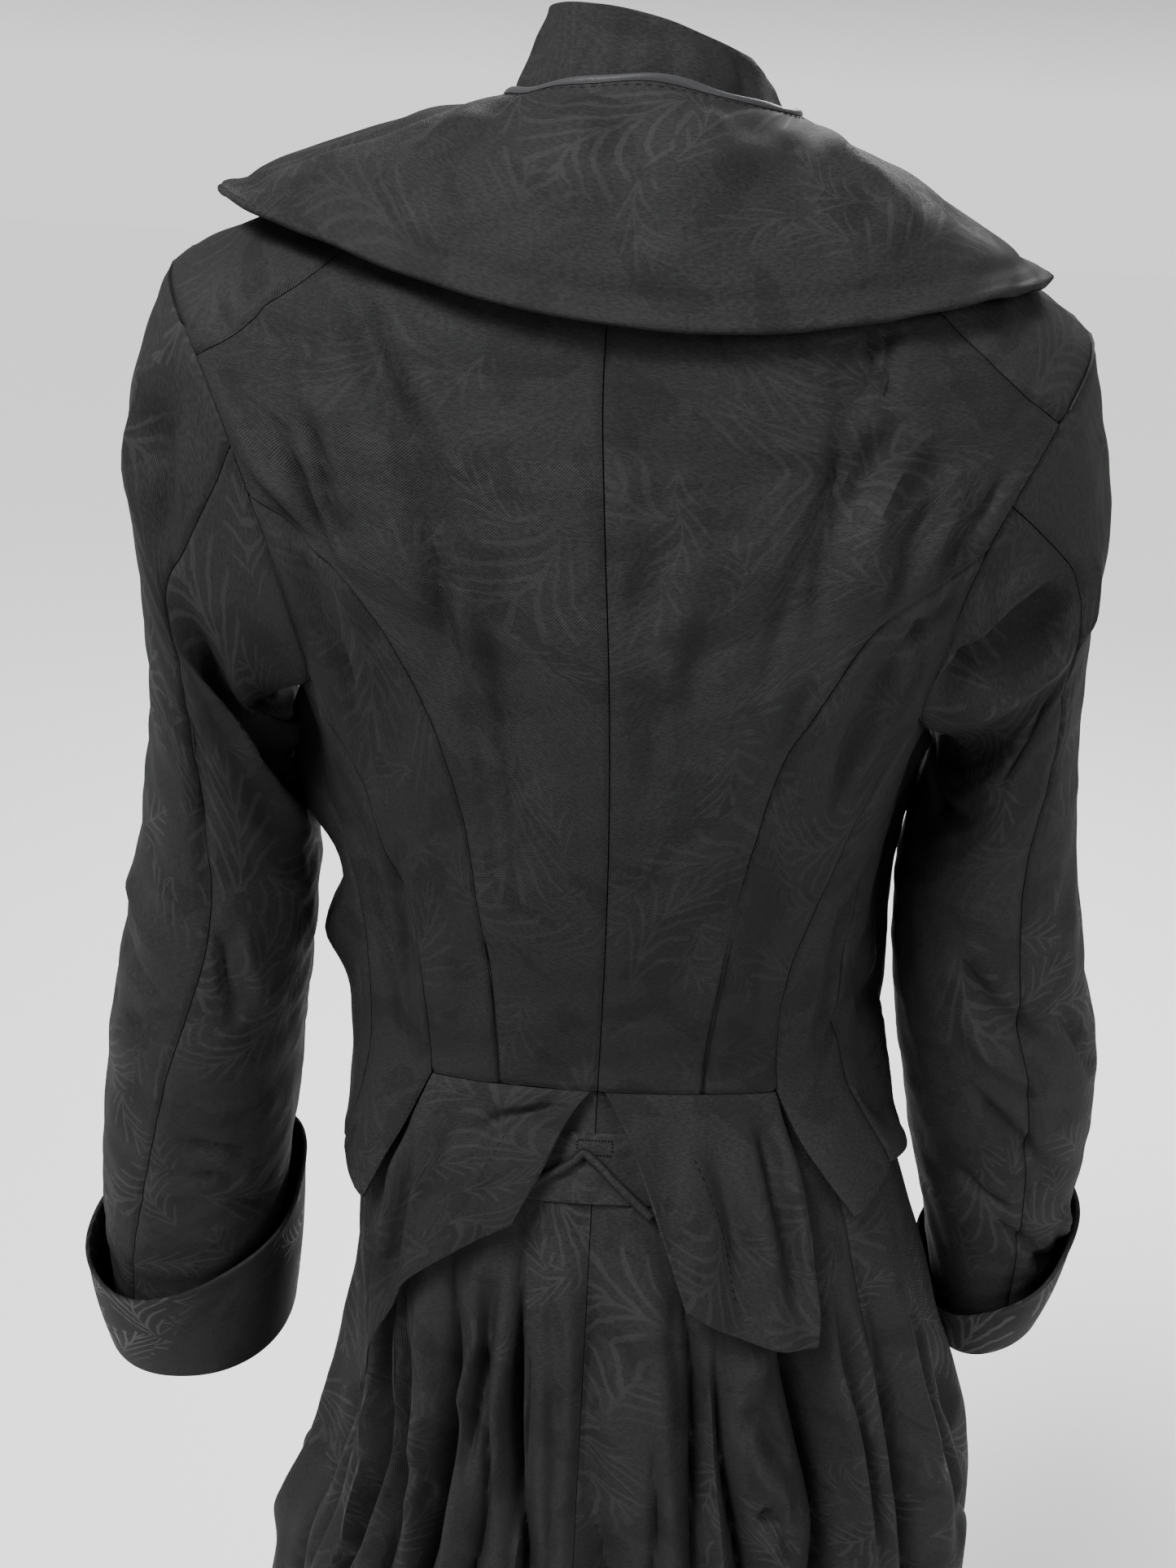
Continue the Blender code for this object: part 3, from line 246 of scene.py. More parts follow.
# Creases of the body's cloth, one row each: angle and level at the start and the end, then bow to the side,
# half width and rise in millimetres. A fall is a trough.
BODY_CREASES = (
    (-43, 2, -21.5, 6.8, 30, 8.5, -6.5),
    (-30.5, 2.1, -15, 8.2, 18, 5, -2),
    (-39, 2, -18, 6.6, 30, 9, 4.5),
    (-37, 3.9, -28, 5.5, 2, 4.5, -3.2),
    (-32.5, 3.6, -26.5, 5.3, 2, 3.8, -3.2),
    (-33.5, 4.2, -30, 5.1, 0, 3.4, -2.2),
    (-30.5, 3.3, -25, 5, 2, 5, 2.4),
    (-49, 4.4, -29, 5.2, -3, 5, -4),
    (-48, 4, -31, 4.9, -3, 6.5, 2.6),
    (-57, 3, -50, 3.4, 0, 5.5, -2.8),
    (-58, 2.5, -49, 2.9, 0, 6, -3),
    (-53, 2.3, -45, 3, 0, 6, 1.6),
    (-41, 2.7, -30, 4, 3, 6.5, 2.6),
    (-27.5, 5.5, -33, 7.6, 0, 7.5, -3),
    (-41, 5.1, -66, 7.5, -6, 7, -4.8),
    (-38, 5.3, -56, 7.9, -3, 6.5, 3.4),
    (-34.5, 5, -41, 7, 0, 5.5, -3),
    (-31, 5.4, -49, 8.4, 0, 6, -3),
    (-58, 8.2, -41, 11.2, 2, 5, -3.4),
    (-43, 8, -38.5, 11, 0, 5, -2.8),
    (-47, 8.3, -39.5, 11, 1, 5, 2),
    (-28, 8.2, -25, 10.6, 0, 8, -1.4),
    (-12, 3.4, -10, 7.4, 0, 13, -1.6),
    (-5, 5.4, -6, 9.8, 0, 12, 1.2),
    (-15, 6.4, -14, 10.2, 0, 12, 1.2),
    (33, 2, 21.5, 3.15, 2, 3.6, -3.4),
    (30, 2.3, 15, 6.4, -10, 4.2, -2.6),
    (26.5, 2.1, 18, 4.6, -4, 4, -2.2),
    (35.5, 2, 23.5, 3.2, 2, 3.6, -3.4),
    (34.2, 2, 22.5, 3.2, 2, 3, 2),
    (29, 3, 19.5, 5.7, -14, 8, -5.2),
    (32, 3, 23.5, 5.5, -10, 8.5, 4),
    (30.5, 3.9, 26.5, 5.5, 0, 5, -3.2),
    (35, 3.8, 30.5, 5.2, 0, 5.5, 2),
    (42.5, 4, 32, 5.1, 0, 5, -3),
    (44.5, 5.1, 29, 5.75, 3, 5, -3.4),
    (19.5, 5.9, 21, 6.9, 0, 5.5, -2.8),
    (1.8, 3.5, 1.8, 5.9, 0, 4.2, -3.4),
    (4.6, 3.6, 5, 7.6, 0, 4.4, 1.8),
    (-12, 3.6, -13.5, 9.4, 2, 3.8, -1.8),
    (-15.5, 4.6, -17, 9, 2, 3.4, -1.6),
    (1.8, 5.7, 6, 7.6, 0, 6, -3.4),
    (5, 5.2, 9, 7.4, 0, 8, -2),
    (8, 3.4, 7, 6, 0, 11, -1.6),
    (13, 5.8, 13, 9.4, 0, 10, 1.4),
    (16.5, 6.6, 17, 9.6, 0, 8, -1.6),
    (30, 5.6, 37.5, 7.9, 3, 7.5, -5.2),
    (34, 5.4, 41.5, 7.6, 3, 6, 3.4),
    (32, 5.2, 46, 7.2, 3, 5.5, -3.6),
    (30, 8, 27, 10.8, 0, 7, -2),
    (52, 9.4, 74, 8.4, 3, 5.5, -4.6),
    (50, 10.8, 54, 8.7, 0, 5, -3.6),
    (44, 10.8, 48, 9.2, 0, 5, 2),
    (78, 9.6, 49, 10.7, 3, 5.5, -3.6),
    (96, 12, 64, 11.1, 2, 6, -3),
    (118, 3.2, 108, 5.4, 2, 7, -3),
    (128, 2.6, 120, 5, 2, 8, 2.4),
    (100, 7.4, 132, 6.6, 4, 8, -3.4),
    (100, 8.4, 150, 10.2, 4, 9, -3.4),
    (112, 10.6, 146, 9.6, 2, 7, -2.8),
    (108, 11.6, 150, 11, 2, 8, 2.6),
    (-116, 3, -107, 5.6, -2, 7, -3),
    (-127, 2.6, -119, 5.2, -2, 8, 2.4),
    (-100, 7.2, -134, 6.4, -4, 8, -3.6),
    (-98, 8.6, -148, 10.4, -4, 9, -3.2),
    (-110, 10.4, -150, 9.8, -2, 7, -3),
    (-104, 11.4, -146, 11.2, -2, 8, 2.6),
    (-92, 9, -96, 11.8, -2, 8, -4),
    (90, 9.4, 94, 11.8, 2, 8, -3.6),
)
# Where the cloth bags out at the sides of the waist, in the same columns
SIDE_FULLNESS = (
    (108, 5.4, 84, 12, 0, 34, 14),
    (104, 5.4, 92, 9.8, 0, 26, 8),
    (-104, 4.6, -88, 9.4, 0, 28, 13),
    (-80, 6, -80, 9.2, 0, 17, 7.6),
    (84, 6.6, 82, 12.4, 0, 24, 9.6),
    (81, 6, 81, 8.8, 0, 14, 5.6),
    (96, 10.6, 72, 10, 2, 10, -5),
    (-112, 9, -66, 8.3, 0, 16, 8),
    (-112, 10.3, -66, 9.6, 0, 17, 10),
)
# Creases of the two tails, in the same columns
TAIL_CREASES = (
    (-25, 11.5, -3.5, 11.12, 1, 3, -4.2),
    (-25, 11.68, -5, 11.28, 1, 5, 2.6),
    (-20, 11.24, -5, 11.04, 0, 3.6, 1.6),
    (-42, 11.5, -51, 13.4, -2, 5, 4),
    (-38.5, 11.45, -48, 13.3, -2, 5, -4),
    (-34, 11.3, -40, 12.5, 0, 4.5, -2.6),
    (-30, 11.6, -37, 12.7, 0, 5, 2),
    (-46, 11.5, -54, 13.7, -2, 4, -3.4),
    (33.5, 11, 36.5, 13.3, 0, 4.5, 4),
    (29.5, 11.15, 34, 13, 1, 5.5, -5),
    (22, 11.5, 30, 12.6, 1, 6, 2.6),
    (17, 11.3, 24.5, 12.6, 1, 5, -2.6),
    (12, 11.6, 17, 12.7, 0, 6, 1.6),
)
# Creases of the skirt, in the same columns
SKIRT_CREASES = (
    (-18.5, 12.4, -25, 14.6, 0, 5, -6),
    (-12.5, 11.9, -9.5, 16.8, 0, 3.2, 6),
    (-52, 12.4, -55, 16.4, 1, 3.6, -7),
    (-56.5, 12.4, -60.5, 16.6, 1, 3.6, 6),
    (-64, 12.6, -69, 16.8, 1, 4, -6),
    (-15, 12.4, -18, 14.8, 0, 6, 4),
    (-22, 13, -29, 13.9, 1, 4.5, 4),
    (-6, 12.6, -4.5, 14, 0, 6, -3),
    (-5.5, 13.2, -3, 15.4, 0, 5, -4),
    (-3.5, 12.2, -1, 13.6, 0, 6, 2),
    (-26, 13.2, -26.5, 15.6, 0, 7, 4),
    (-37, 12.6, -38, 15.6, 0, 7, 5),
    (-42, 13.4, -36, 14, 1, 4, -4),
    (-43, 14.3, -34.5, 14.9, 1, 4.5, -5),
    (-47, 12.8, -48.5, 16, 0, 5.5, 5),
    (4.5, 12.6, 6, 15.4, 0, 6, -3.2),
    (8.5, 12.2, 11, 15.2, 0, 6, 4),
    (11.5, 12.5, 13.2, 14, 0, 4, -3),
    (17, 12.9, 18.2, 15.6, 0, 3, 3.6),
    (22, 13.6, 30, 14.25, 2, 5, -5.2),
    (23, 13.25, 28.5, 13.35, 0, 6, 3.6),
    (21.5, 13.9, 28.5, 14.6, 2, 5, 6),
    (24, 14.4, 29, 14.9, -2, 5, -7),
    (27, 14.3, 25, 15.1, 2, 4, 5),
    (38.5, 12.2, 41.5, 15.6, 0, 6, 6),
    (42, 12.6, 44.5, 15.6, 0, 4.5, -4.6),
    (45.5, 12.4, 48, 15.8, 0, 5, 3.6),
    (58, 12.4, 60, 15.2, 0, 7, 4.6),
    (64, 13, 67, 15.8, 0, 6, -5),
    (70, 14.2, 86, 14.7, 2, 6, -4),
    (66, 15.3, 84, 15.6, 2, 6, -5),
    (84, 16, 92, 18.8, 0, 10, 6),
    (107, 12.6, 106, 16.4, 0, 24, -8),
    (110, 13, 113, 18.6, 0, 10, 5),
    (131, 13.4, 133, 19, 0, 11, 5),
    (154, 13.6, 155, 19.4, 0, 10, 4),
    (-88, 13, -90, 17.8, 0, 10, 5.6),
    (-109, 13.2, -111, 18.8, 0, 11, 5),
    (-131, 13.4, -132, 19.2, 0, 10, 4.8),
    (-153, 13.4, -154, 19.2, 0, 11, 4.4),
)
# Creases of the sleeves: step of the armhole and level at the start and the end, then the same columns
SLEEVE_CREASES = {
    "L": (
        (7.4, 0.8, 14.6, 3.2, 16, 8.5, -11),
        (6.8, 1.3, 13.6, 3.7, 14, 10, 6),
        (8.6, 0.55, 14.8, 2.6, 14, 8.5, 7),
        (3.2, 0.5, 6.9, 0.95, 0, 7, -6),
        (1.4, 0.35, 6, 1.25, 0, 8, 4),
        (12, 0.7, 16.4, 1.6, 3, 5.5, -7),
        (12.4, 1.3, 16.8, 2.3, 3, 5.5, 6),
        (12.8, 1.8, 17, 2.9, 2, 5, -7),
        (6.9, 2.1, 7.2, 4.4, -6, 6, -3.6),
        (7.3, 4.25, 8.9, 5.25, 2, 4.5, -4.2),
        (8.4, 4.1, 10.2, 5.2, 2, 6, 3),
        (0.6, 5, 6.6, 5.1, 3, 5, -3.6),
        (0.2, 4.6, 6, 4.75, 3, 5.5, 2.2),
        (3.4, 5.45, 6.2, 5.3, 1, 4, -2.6),
        (6.8, 6.35, 10.6, 6.85, 1, 4, -3.6),
        (7.2, 6.75, 10.2, 7.1, 1, 3.6, -3),
        (8.8, 7.2, 12, 7.8, 1, 4.5, -2.6),
        (-4, 2.6, 2.6, 3.3, 4, 8, -3.4),
        (-6, 4.4, 0, 5.2, 4, 7.5, -4),
        (-7, 5.6, -1, 5.2, 3, 7, 3.4),
        (-8, 1.2, -2, 2.2, 4, 8, -4),
        (16, 4.2, 20, 5.2, 3, 6, -5),
        (15.5, 5.6, 20, 5.4, 2, 6, -4),
        (-8, 7, -2, 7.6, 3, 6, -3),
    ),
    "R": (
        (5.6, 1.05, 10.2, -0.05, 4, 7.5, -10),
        (6.2, 1.35, 11, 0.3, 4, 8.5, 5.6),
        (5.6, 0.7, 9, -0.02, 3, 6.5, 4.6),
        (6.9, -0.1, 9.2, 0.42, 0, 3.6, -4.6),
        (15.8, 1.5, 9.4, 2.5, 4, 7, -4),
        (7.2, 1.25, 8.6, 2.4, 1, 8, -3),
        (4.8, 0.6, 5.6, 1.6, 1, 6, 3),
        (9.6, 4.1, 4.4, 5.55, 4, 7, -4.8),
        (9.2, 4.65, 4.6, 6, 4, 6.5, 3.4),
        (4.6, 4.8, 2.2, 6, 1, 5.5, -3.6),
        (8.8, 5.5, 4.6, 6.95, 4, 5, -4.4),
        (9.8, 6.7, 6.6, 7.2, 2, 4, -3.4),
        (8, 7.2, 4.6, 7.9, 2, 4.5, -3.6),
        (5.4, 7.8, 2.8, 8.4, 1, 6, -6),
        (4, 7.3, 1.6, 8.2, 1, 5, 4),
        (-4, 2.6, 2.6, 3.3, 4, 8, -3.4),
        (-6, 4.4, 0.6, 5.2, 4, 7.5, -4),
        (-7, 5.6, -1, 5.3, 3, 7, 3.4),
        (-8, 1.2, -2, 2.2, 4, 8, -4),
        (16, 4, 20, 5, 3, 6, -5),
        (15.5, 5.6, 20, 5.2, 2, 6, -4),
        (-8, 7, -2, 7.6, 3, 6, -3),
    ),
}

# How finely each piece is divided: cells for each step of its solid's seams, or rows and columns in all
BACK_FINENESS, SIDE_FINENESS, FRONT_FINENESS, SHOULDER_FINENESS = 7, 8, 5, 7
BACK_COLUMNS = 46
SLEEVE_ROWS_FINE, SLEEVE_COLUMNS = 168, 52
CUFF_COLUMNS, CUFF_RISE_ROWS, LIP_ROWS, ROLL_ROWS = 150, 22, 4, 5
TAIL_CELLS, TAB_CELLS = 46, 36
SKIRT_ROWS_FINE = 190
SKIRT_COLUMNS = (84, 54, 60)
# Rows of each collar's outer face and of the layer below, and the columns of both
STAND_FINENESS, CAPE_FINENESS = (22, 16, 180), (76, 12, 250)
BINDING_ROWS, BINDING_COLUMNS = 9, 260
CORD_RINGS, CORD_SIDES = 90, 12
# Where the extra rows at an edge lie, as shares of the first cell
EDGE_ROWS = (0.22, 0.5, 0.8)
SHOULDER_STEPS, PRINCESS_STEPS, SIDE_BACK_STEPS = 7, 11, 9
SIDE_STEPS, FLAP_STEPS, NECK_FRONT_STEPS = 9, 3, 7
# When points are spread along a line, one level counts as this many degrees, and each point gives these
# samples
LEVEL_DEGREES, CURVE_SAMPLES = 12.0, 40

# Shaping of seams, hems and the cloth's unevenness, in metres
SEAM_DIP, SEAM_REACH, SEAM_SWELL, SEAM_ALLOWANCE = 0.0011, 0.0016, 0.0003, 0.0075
HEM_SWELL, HEM_ROLL, HEM_DEPTH, HEM_FADE = 0.0004, 0.0016, 0.012, 1.2
RIPPLE_WAVES, RIPPLE_HEIGHT, RIPPLE_LENGTHS = 14, 0.00065, (0.022, 0.085)
BODY_SEED, SLEEVE_SEED, CAPE_SEED, STAND_SEED, SKIRT_SEED = 3, 11, 21, 31, 41
# How much of the ripple the collars and the skirt have
CAPE_RIPPLE, STAND_RIPPLE, SKIRT_RIPPLE = 1.3, 0.6, 1.4
SHARP_ANGLE = 50.0
# How far from the armhole, as a share of its size, the normals turn to the sleeve's and the creases die out
NORMALS_TURN, CREASES_CALM = 0.3, 0.16
# The levels of the sleeve over which its creases start, and how far its ripple reaches across
SLEEVE_CALM, ARM_BREADTH = 0.3, 0.08

# How far the listed creases are raised over their tables
CREASE_GAIN = 1.35
# How a crease wanders and swells: share of its half width, radians along its line, radians for each row
WANDER, WANDER_TURNS, WANDER_SHIFT = 0.18, 11, 1.7
SWELL, SWELL_TURNS, SWELL_SHIFT = 0.22, 7, 2.3
# The shares of a crease's line over which it rises and dies out
CREASE_START, CREASE_END = 0.28, 0.34

# The skirt's folds: how sharp, and how deep, narrow and sharp the crevice is, in folds narrower than the
# soft ones
FOLD_SHARPNESS, CREVICE, CREVICE_WIDTH, CREVICE_SHARPNESS, SOFT_FOLD = 1.35, 0.42, 0.26, 1.4, 5.6
# The crevice fades out towards the centre-back seam, between these angles
CREVICE_CLEAR = (2.0, 6.0)
# How a fold wanders and how uneven its depth is: share, radians for each level and for each fold
FOLD_WANDER, FOLD_UNEVEN = (0.35, 1.7, 2.1), (0.25, 0.9, 1.3)
# The levels over which a fold starts to wander and reaches its depth
FOLD_LOOSENS, FOLD_GROWS = 2, 2.6
# The levels over which the skirt goes in under the tails, and over which its creases are held low
SKIRT_GOES_UNDER, SKIRT_COMES_OUT = (WAIST + 0.05, WAIST + 0.35), (12.6, 13.6)
# How high its creases are under the tails, and how evenly its rows are spaced, as shares
SKIRT_HELD, SKIRT_EVEN = 0.35, 0.75

# The hip flap's lift off the skirt, and the angles between which it fades in from the front
FLAP_LIFT, FLAP_ANGLES = 0.007, (110, 60)
# The tail's lift off the skirt, the height of its waves and how close they are, and the levels over which
# it starts
PEPLUM_OFF, PEPLUM_WAVE, PEPLUM_WAVES, PEPLUM_STARTS = 0.0015, 0.004, 0.28, 0.8

# The cuff: its gap to the sleeve, its thickness at the rim, its bow, the ridge at the rim with its width as
# a share of the cuff, how deep the lip and the tuck go inside, and the tuck's gap to the sleeve's inside
CUFF_OFF, CUFF_THICKNESS, CUFF_BOW = 0.0026, 0.0026, 0.0016
CUFF_RIDGE, CUFF_RIDGE_WIDTH = 0.0007, 0.06
CUFF_LIP, CUFF_TUCK, CUFF_CLEAR = 0.016, 0.01, 0.0006
# The cuff's waves round the arm: height, number and shift
CUFF_WAVES = ((0.0022, 2, 0.6), (0.0012, 5, 1.1))

# The collars: how thick the fold of each is, and its plan as radius at the neck, what each level adds to
# that, and the length of a level
CAPE_FOLD, STAND_FOLD = 0.0052, 0.0026
CAPE_PLAN, STAND_PLAN = (0.06, 0.028, 0.034), (0.05, 0.0, 0.016)
# The ridge and the groove along the cape collar's lower edge, how wide they are and how far in the groove
# is, in levels
CAPE_RIDGE, CAPE_GROOVE, CAPE_RIDGE_WIDTH, CAPE_GROOVE_IN = 0.0012, 0.001, 0.12, 0.42
# The binding's swell, how flat it is at its edges, and its wall
BINDING_SWELL, BINDING_FLAT, BINDING_WALL = 0.0016, 0.96, 0.0008

# The seam allowance inside: its width and how far it lies below the edge, and the step at the edge
ALLOWANCE_WIDTH, ALLOWANCE_DEPTH, ALLOWANCE_STEP = 0.004, 0.0017, 0.0001
SKIRT_ALLOWANCES = {
    "skirt_side_L_cloth": ("left", "right"),
    "skirt_side_R_cloth": ("left", "right"),
    "skirt_back_L_cloth": ("left",),
    "skirt_front_L_cloth": ("right",),
}

# The cloth's gloss, as the share of a common plastic's
GLOSS = 0.06
# How clear the satin sprays are on each piece's cloth; their lighter colour is partly painted sheen
SPRAY_FIGURE_AND_PAINTED_SHEEN = {"body": 0.22, "sleeve": 0.34, "cuff": 0.8, "collar": 0.26, "tail": 0.26, "cord": 0.3, "skirt": 0.36,
          "button": 0.5}
# Length of a leaf spray in metres, width as a share of it, number of leaflets, and bend
LARGE_SPRAY, SMALL_SPRAY = (0.05, 0.46, 8.0, 0.55), (0.028, 0.4, 6.0, -0.5)
# How close the sprays are and how unevenly they lie
SPRAY_CLOSENESS, SPRAY_CHANCE = 0.62, 0.8
# A leaflet's slant from the midrib, how much it straightens, and how it thins towards the spray's edge
LEAFLET_SLANT, LEAFLET_CURVE, LEAFLET_THINS = 2.1, 1.9, 0.45
# Where the spray's, the leaflets' and the midrib's edges start and end
SPRAY_EDGE, LEAFLET_EDGE, MIDRIB_EDGE = (0.02, -0.02), (0.3, 0.55), (0.024, 0.01)
TWILL_SLANT = 1.35
# How pieces lie on the bolt, turned by radians
BOLT_TURN = {"side_back": 0.12, "side": 0.2}

# Thread: the stitch's length, width and height, for seams and for the buttonhole
STITCH, BUTTONHOLE_STITCH = (0.0022, 0.0007, 0.0004), (0.0008, 0.0012, 0.0005)
# How wide a stitch is at its ends and how far it is sunk, as shares
STITCH_ENDS, STITCH_SUNK = 0.45, 0.6
BUTTONHOLE_HALF, BUTTONHOLE_OFF = (0.0085, 0.0035), 0.0002
# The line of stitches below the collar's binding: its first and last angle, its points, and the levels
# between
BINDING_STITCH = (-70, 75, 400)
BINDING_STITCH_BELOW = 0.1

# The covered button: how many puckers its cover has and how deep they are
PUCKERS, PUCKER_DEPTH = 24, 0.012

# Creases of the cape collar, in the same columns
CAPE_CREASES = (
    (-60, 0.8, -38, 3.6, 4, 12, 3),
    (-44, 1, -30, 3.2, 3, 12, -2.6),
    (-24, 0.6, -12, 2.2, 2, 11, 1.8),
    (-10, 1, -4, 3.4, 2, 14, -1.4),
    (20, 0.6, 12, 2.4, 2, 12, 1.6),
    (34, 0.9, 26, 3.2, 2, 13, -1.8),
    (62, 0.8, 44, 3.4, 4, 14, 2.8),
    (82, 0.8, 76, 3.6, 3, 12, -2.6),
    (-84, 0.8, -78, 3.6, 3, 12, -2.4),
    (-112, 0.8, -106, 3.4, 3, 13, 2.4),
    (110, 0.8, 108, 3.4, 3, 13, 2.6),
    (-136, 1.2, -128, 3.2, 3, 11, -2),
    (136, 1.2, 128, 3.2, 3, 11, -2),
)
# Dents of the stand collar, in the same columns
STAND_CREASES = (
    (-46, 0.2, -30, 1.9, 1, 5, -1.4),
    (-18, 0.3, -10, 1.9, 1, 6, 1),
    (8, 0.2, 20, 1.8, 1, 6, -1.2),
    (38, 0.2, 48, 1.9, 1, 6, 1.2),
    (90, 0.2, 84, 1.9, 1, 7, -1.4),
    (-92, 0.2, -86, 1.9, 1, 7, -1.4),
)

# Lines of topstitching on the tails, as angle and level, and the buttonhole's middle on the tab
TAIL_STITCHING = {
    "L": ((-16.0, 11.43), (-22.0, 11.83), (-28.0, 12.23), (-38.5, 13.0)),
    "R": ((15.5, 11.55), (19.5, 12.05), (21.5, 12.7)),
}
BUTTONHOLE_PLACE = (0.0, 11.5)

# The camera: its place in metres, its turn, downward tilt and roll in degrees, and its focal length in
# pixels
CAMERA_PLACE = (-0.006, -0.69, 0.03)
CAMERA_YAW, CAMERA_PITCH, CAMERA_ROLL = 0.5, 24.0, 2.7
IMAGE_HEIGHT, FOCAL_PIXELS, SENSOR = 1927.0, 1954.0, 36.0
FLOOR_LEVEL, FLOOR_SIZE = -1.46, 30.0
# The skirt's upper edge, tucked in under the waist seam
SKIRT_TOP = 10.93
# The surroundings: their strength overhead and, in a narrow band, at the horizon
WORLD_STRENGTH, HORIZON_STRENGTH, HORIZON_BAND = 0.4, 1.25, 0.1
# The sun's direction, its size in degrees and its strength: a wide, soft key from above and the left
SUN = ((-0.62, -0.66, 1.0), 24.0, 3.9)
# The lamps: name, place, aim, diameter in metres, power in watts
LIGHTS = (
    ("key", (-0.8, -0.7, 1.25), (-0.08, 0, -0.05), 0.5, 56),
    ("fill", (1.6, -1.5, 0.9), (0.05, 0, -0.2), 1.2, 42),
    ("back", (0.6, 2.6, 1.2), (0, 0, -0.5), 1.2, 70),
)


def bend_through(before, first, second, after, t):
    """A point between the first and the second of four, on the smooth curve through them (Catmull-Rom)."""
    bend = 2 * before - 5 * first + 4 * second - after
    twist = 3 * (first - second) + after - before
    return first + 0.5 * t * (second - before + t * (bend + t * twist))


def spline(rows, level):
    """Reads a table of rows at any level, on the smooth curve through the rows."""
    rows = np.asarray(rows, float)
    level = np.clip(np.asarray(level, float), 0, len(rows) - 1)
    low = np.minimum(level.astype(int), len(rows) - 2)
    t = (level - low).reshape(level.shape + (1,) * (rows.ndim - 1))
    before, after = rows[np.maximum(low - 1, 0)], rows[np.minimum(low + 2, len(rows) - 1)]
    return bend_through(before, rows[low], rows[low + 1], after, t)


def along(points, count):
    """Spreads count + 1 points evenly over the smooth curve through the given ones."""
    fine = spline(points, np.linspace(0, len(points) - 1, CURVE_SAMPLES * len(points)))
    steps = np.linalg.norm(np.diff(fine, axis=0) * (1.0, LEVEL_DEGREES), axis=1)
    run = np.concatenate([[0], np.cumsum(steps)])
    wanted = np.linspace(0, run[-1], count + 1)
    return np.stack([np.interp(wanted, run, fine[:, i]) for i in range(fine.shape[1])], axis=1)


def smooth_step(value, start, end):
    """0 up to the start, 1 from the end, and between them three times the square less twice the cube."""
    t = np.clip((value - start) / (end - start), 0, 1)
    return t * t * (3 - 2 * t)


def power(value, exponent):
    """A power of the value's size, with the value's own sign."""
    return np.sign(value) * np.abs(value) ** exponent


def posed(points):
    """Shifts and shears the upper coat to hang as it does on the wearer."""
    share = smooth_step(points[..., 2], POSE_BOTTOM, POSE_TOP)
    moved = points.copy()
    moved[..., 0] += TOP_SHIFT * share
    moved[..., 2] += TOP_SHEAR * share * points[..., 0]
    return moved


def ring(columns, angle, steepness):
    """A superellipse section: columns left, right, back, front, z back, z side, z front, centre y, squareness.

    Its height runs from z side to z back or z front with a power of the cosine, the steepness.
    """
    left, right, back, front, z_back, z_side, z_front, centre, square = np.moveaxis(columns, -1, 0)
    turn = np.radians(angle)
    sine, cosine = power(np.sin(turn), 2 / square), power(np.cos(turn), 2 / square)
    x = np.where(sine < 0, left, right) * sine
    y = np.where(cosine > 0, centre - (centre - back) * cosine, centre - (front - centre) * cosine)
    slope = np.abs(np.cos(turn)) ** steepness
    z = z_side + np.where(cosine > 0, z_back - z_side, z_front - z_side) * slope
    return np.stack([x, y, z], axis=-1)


def body(angle, level):
    """The coat's outer form: a section at each level, splined down the body and posed."""
    return posed(ring(spline([row[1:] for row in BODY_ROWS], level), angle, BODY_SLOPE))


def collar_form(rows, angle, level, slope):
    """A collar's outer form, from its sections, symmetric left and right."""
    rows = np.asarray(rows, float)
    columns = spline(np.concatenate([rows[:, :1], rows], axis=1), level)
    return posed(ring(columns, angle, slope))


def normals(form, first, second, reach=0.02):
    """Unit normals of a form of two parameters, outwards where the first turns and the second runs down.

    The reach is how far to each side the first is read, so a longer one evens a narrow fold out.
    """
    step = 0.02
    across = form(first + reach, second) - form(first - reach, second)
    down = form(first, second + step) - form(first, second - step)
    found = np.cross(down, across)
    return found / np.maximum(np.linalg.norm(found, axis=-1, keepdims=True), 1e-12)


def side_sign(side):
    return 1.0 if side == "R" else -1.0


def armhole(step, side):
    """Angle and level of the armhole's edge. Steps start at the top and run down the back of the arm."""
    turn = 2 * np.pi * np.asarray(step, float) / ARMHOLE_STEPS
    back = ARMHOLE_BACK * power(np.sin(turn), ARMHOLE_BACK_ROUND)
    front = ARMHOLE_FRONT * power(np.sin(turn), ARMHOLE_FRONT_ROUND)
    angle = ARMHOLE_ANGLE - np.where(np.sin(turn) > 0, back, front)
    return np.stack([side_sign(side) * angle, ARMHOLE_MIDDLE - ARMHOLE_HALF * np.cos(turn)], axis=-1)


def arm_ring(row, step, side):
    """One section across the arm: step 0 is its outer point, a quarter round is its back."""
    out_x, out_z, in_x, in_z, middle_y, half_depth, drop = row
    turn = 2 * np.pi * np.asarray(step, float) / ARMHOLE_STEPS
    cosine = power(np.cos(turn), 2 / SLEEVE_SQUARENESS)
    sine = power(np.sin(turn), 2 / SLEEVE_SQUARENESS)
    x = (out_x + in_x) / 2 + (out_x - in_x) / 2 * cosine
    z = (out_z + in_z) / 2 + (out_z - in_z) / 2 * cosine - drop * sine
    y = middle_y - half_depth * sine
    return posed(np.stack([side_sign(side) * x, y, z], axis=-1))


def sleeve(step, level, side):
    """The sleeve's outer form, splined from the armhole's edge through the arm sections."""
    step, level = np.broadcast_arrays(np.asarray(step, float), np.asarray(level, float))
    edge = armhole(step, side)
    rings = [body(edge[..., 0], edge[..., 1])]
    rings = np.stack(rings + [arm_ring(row, step, side) for row in SLEEVE_ROWS[side]])
    level = np.clip(level, 0, len(rings) - 1)
    low = np.minimum(level.astype(int), len(rings) - 2)

    def pick(number):
        number = np.clip(number, 0, len(rings) - 1)
        return np.take_along_axis(rings, number[None, ..., None], axis=0)[0]

    return bend_through(pick(low - 1), pick(low), pick(low + 1), pick(low + 2), (level - low)[..., None])


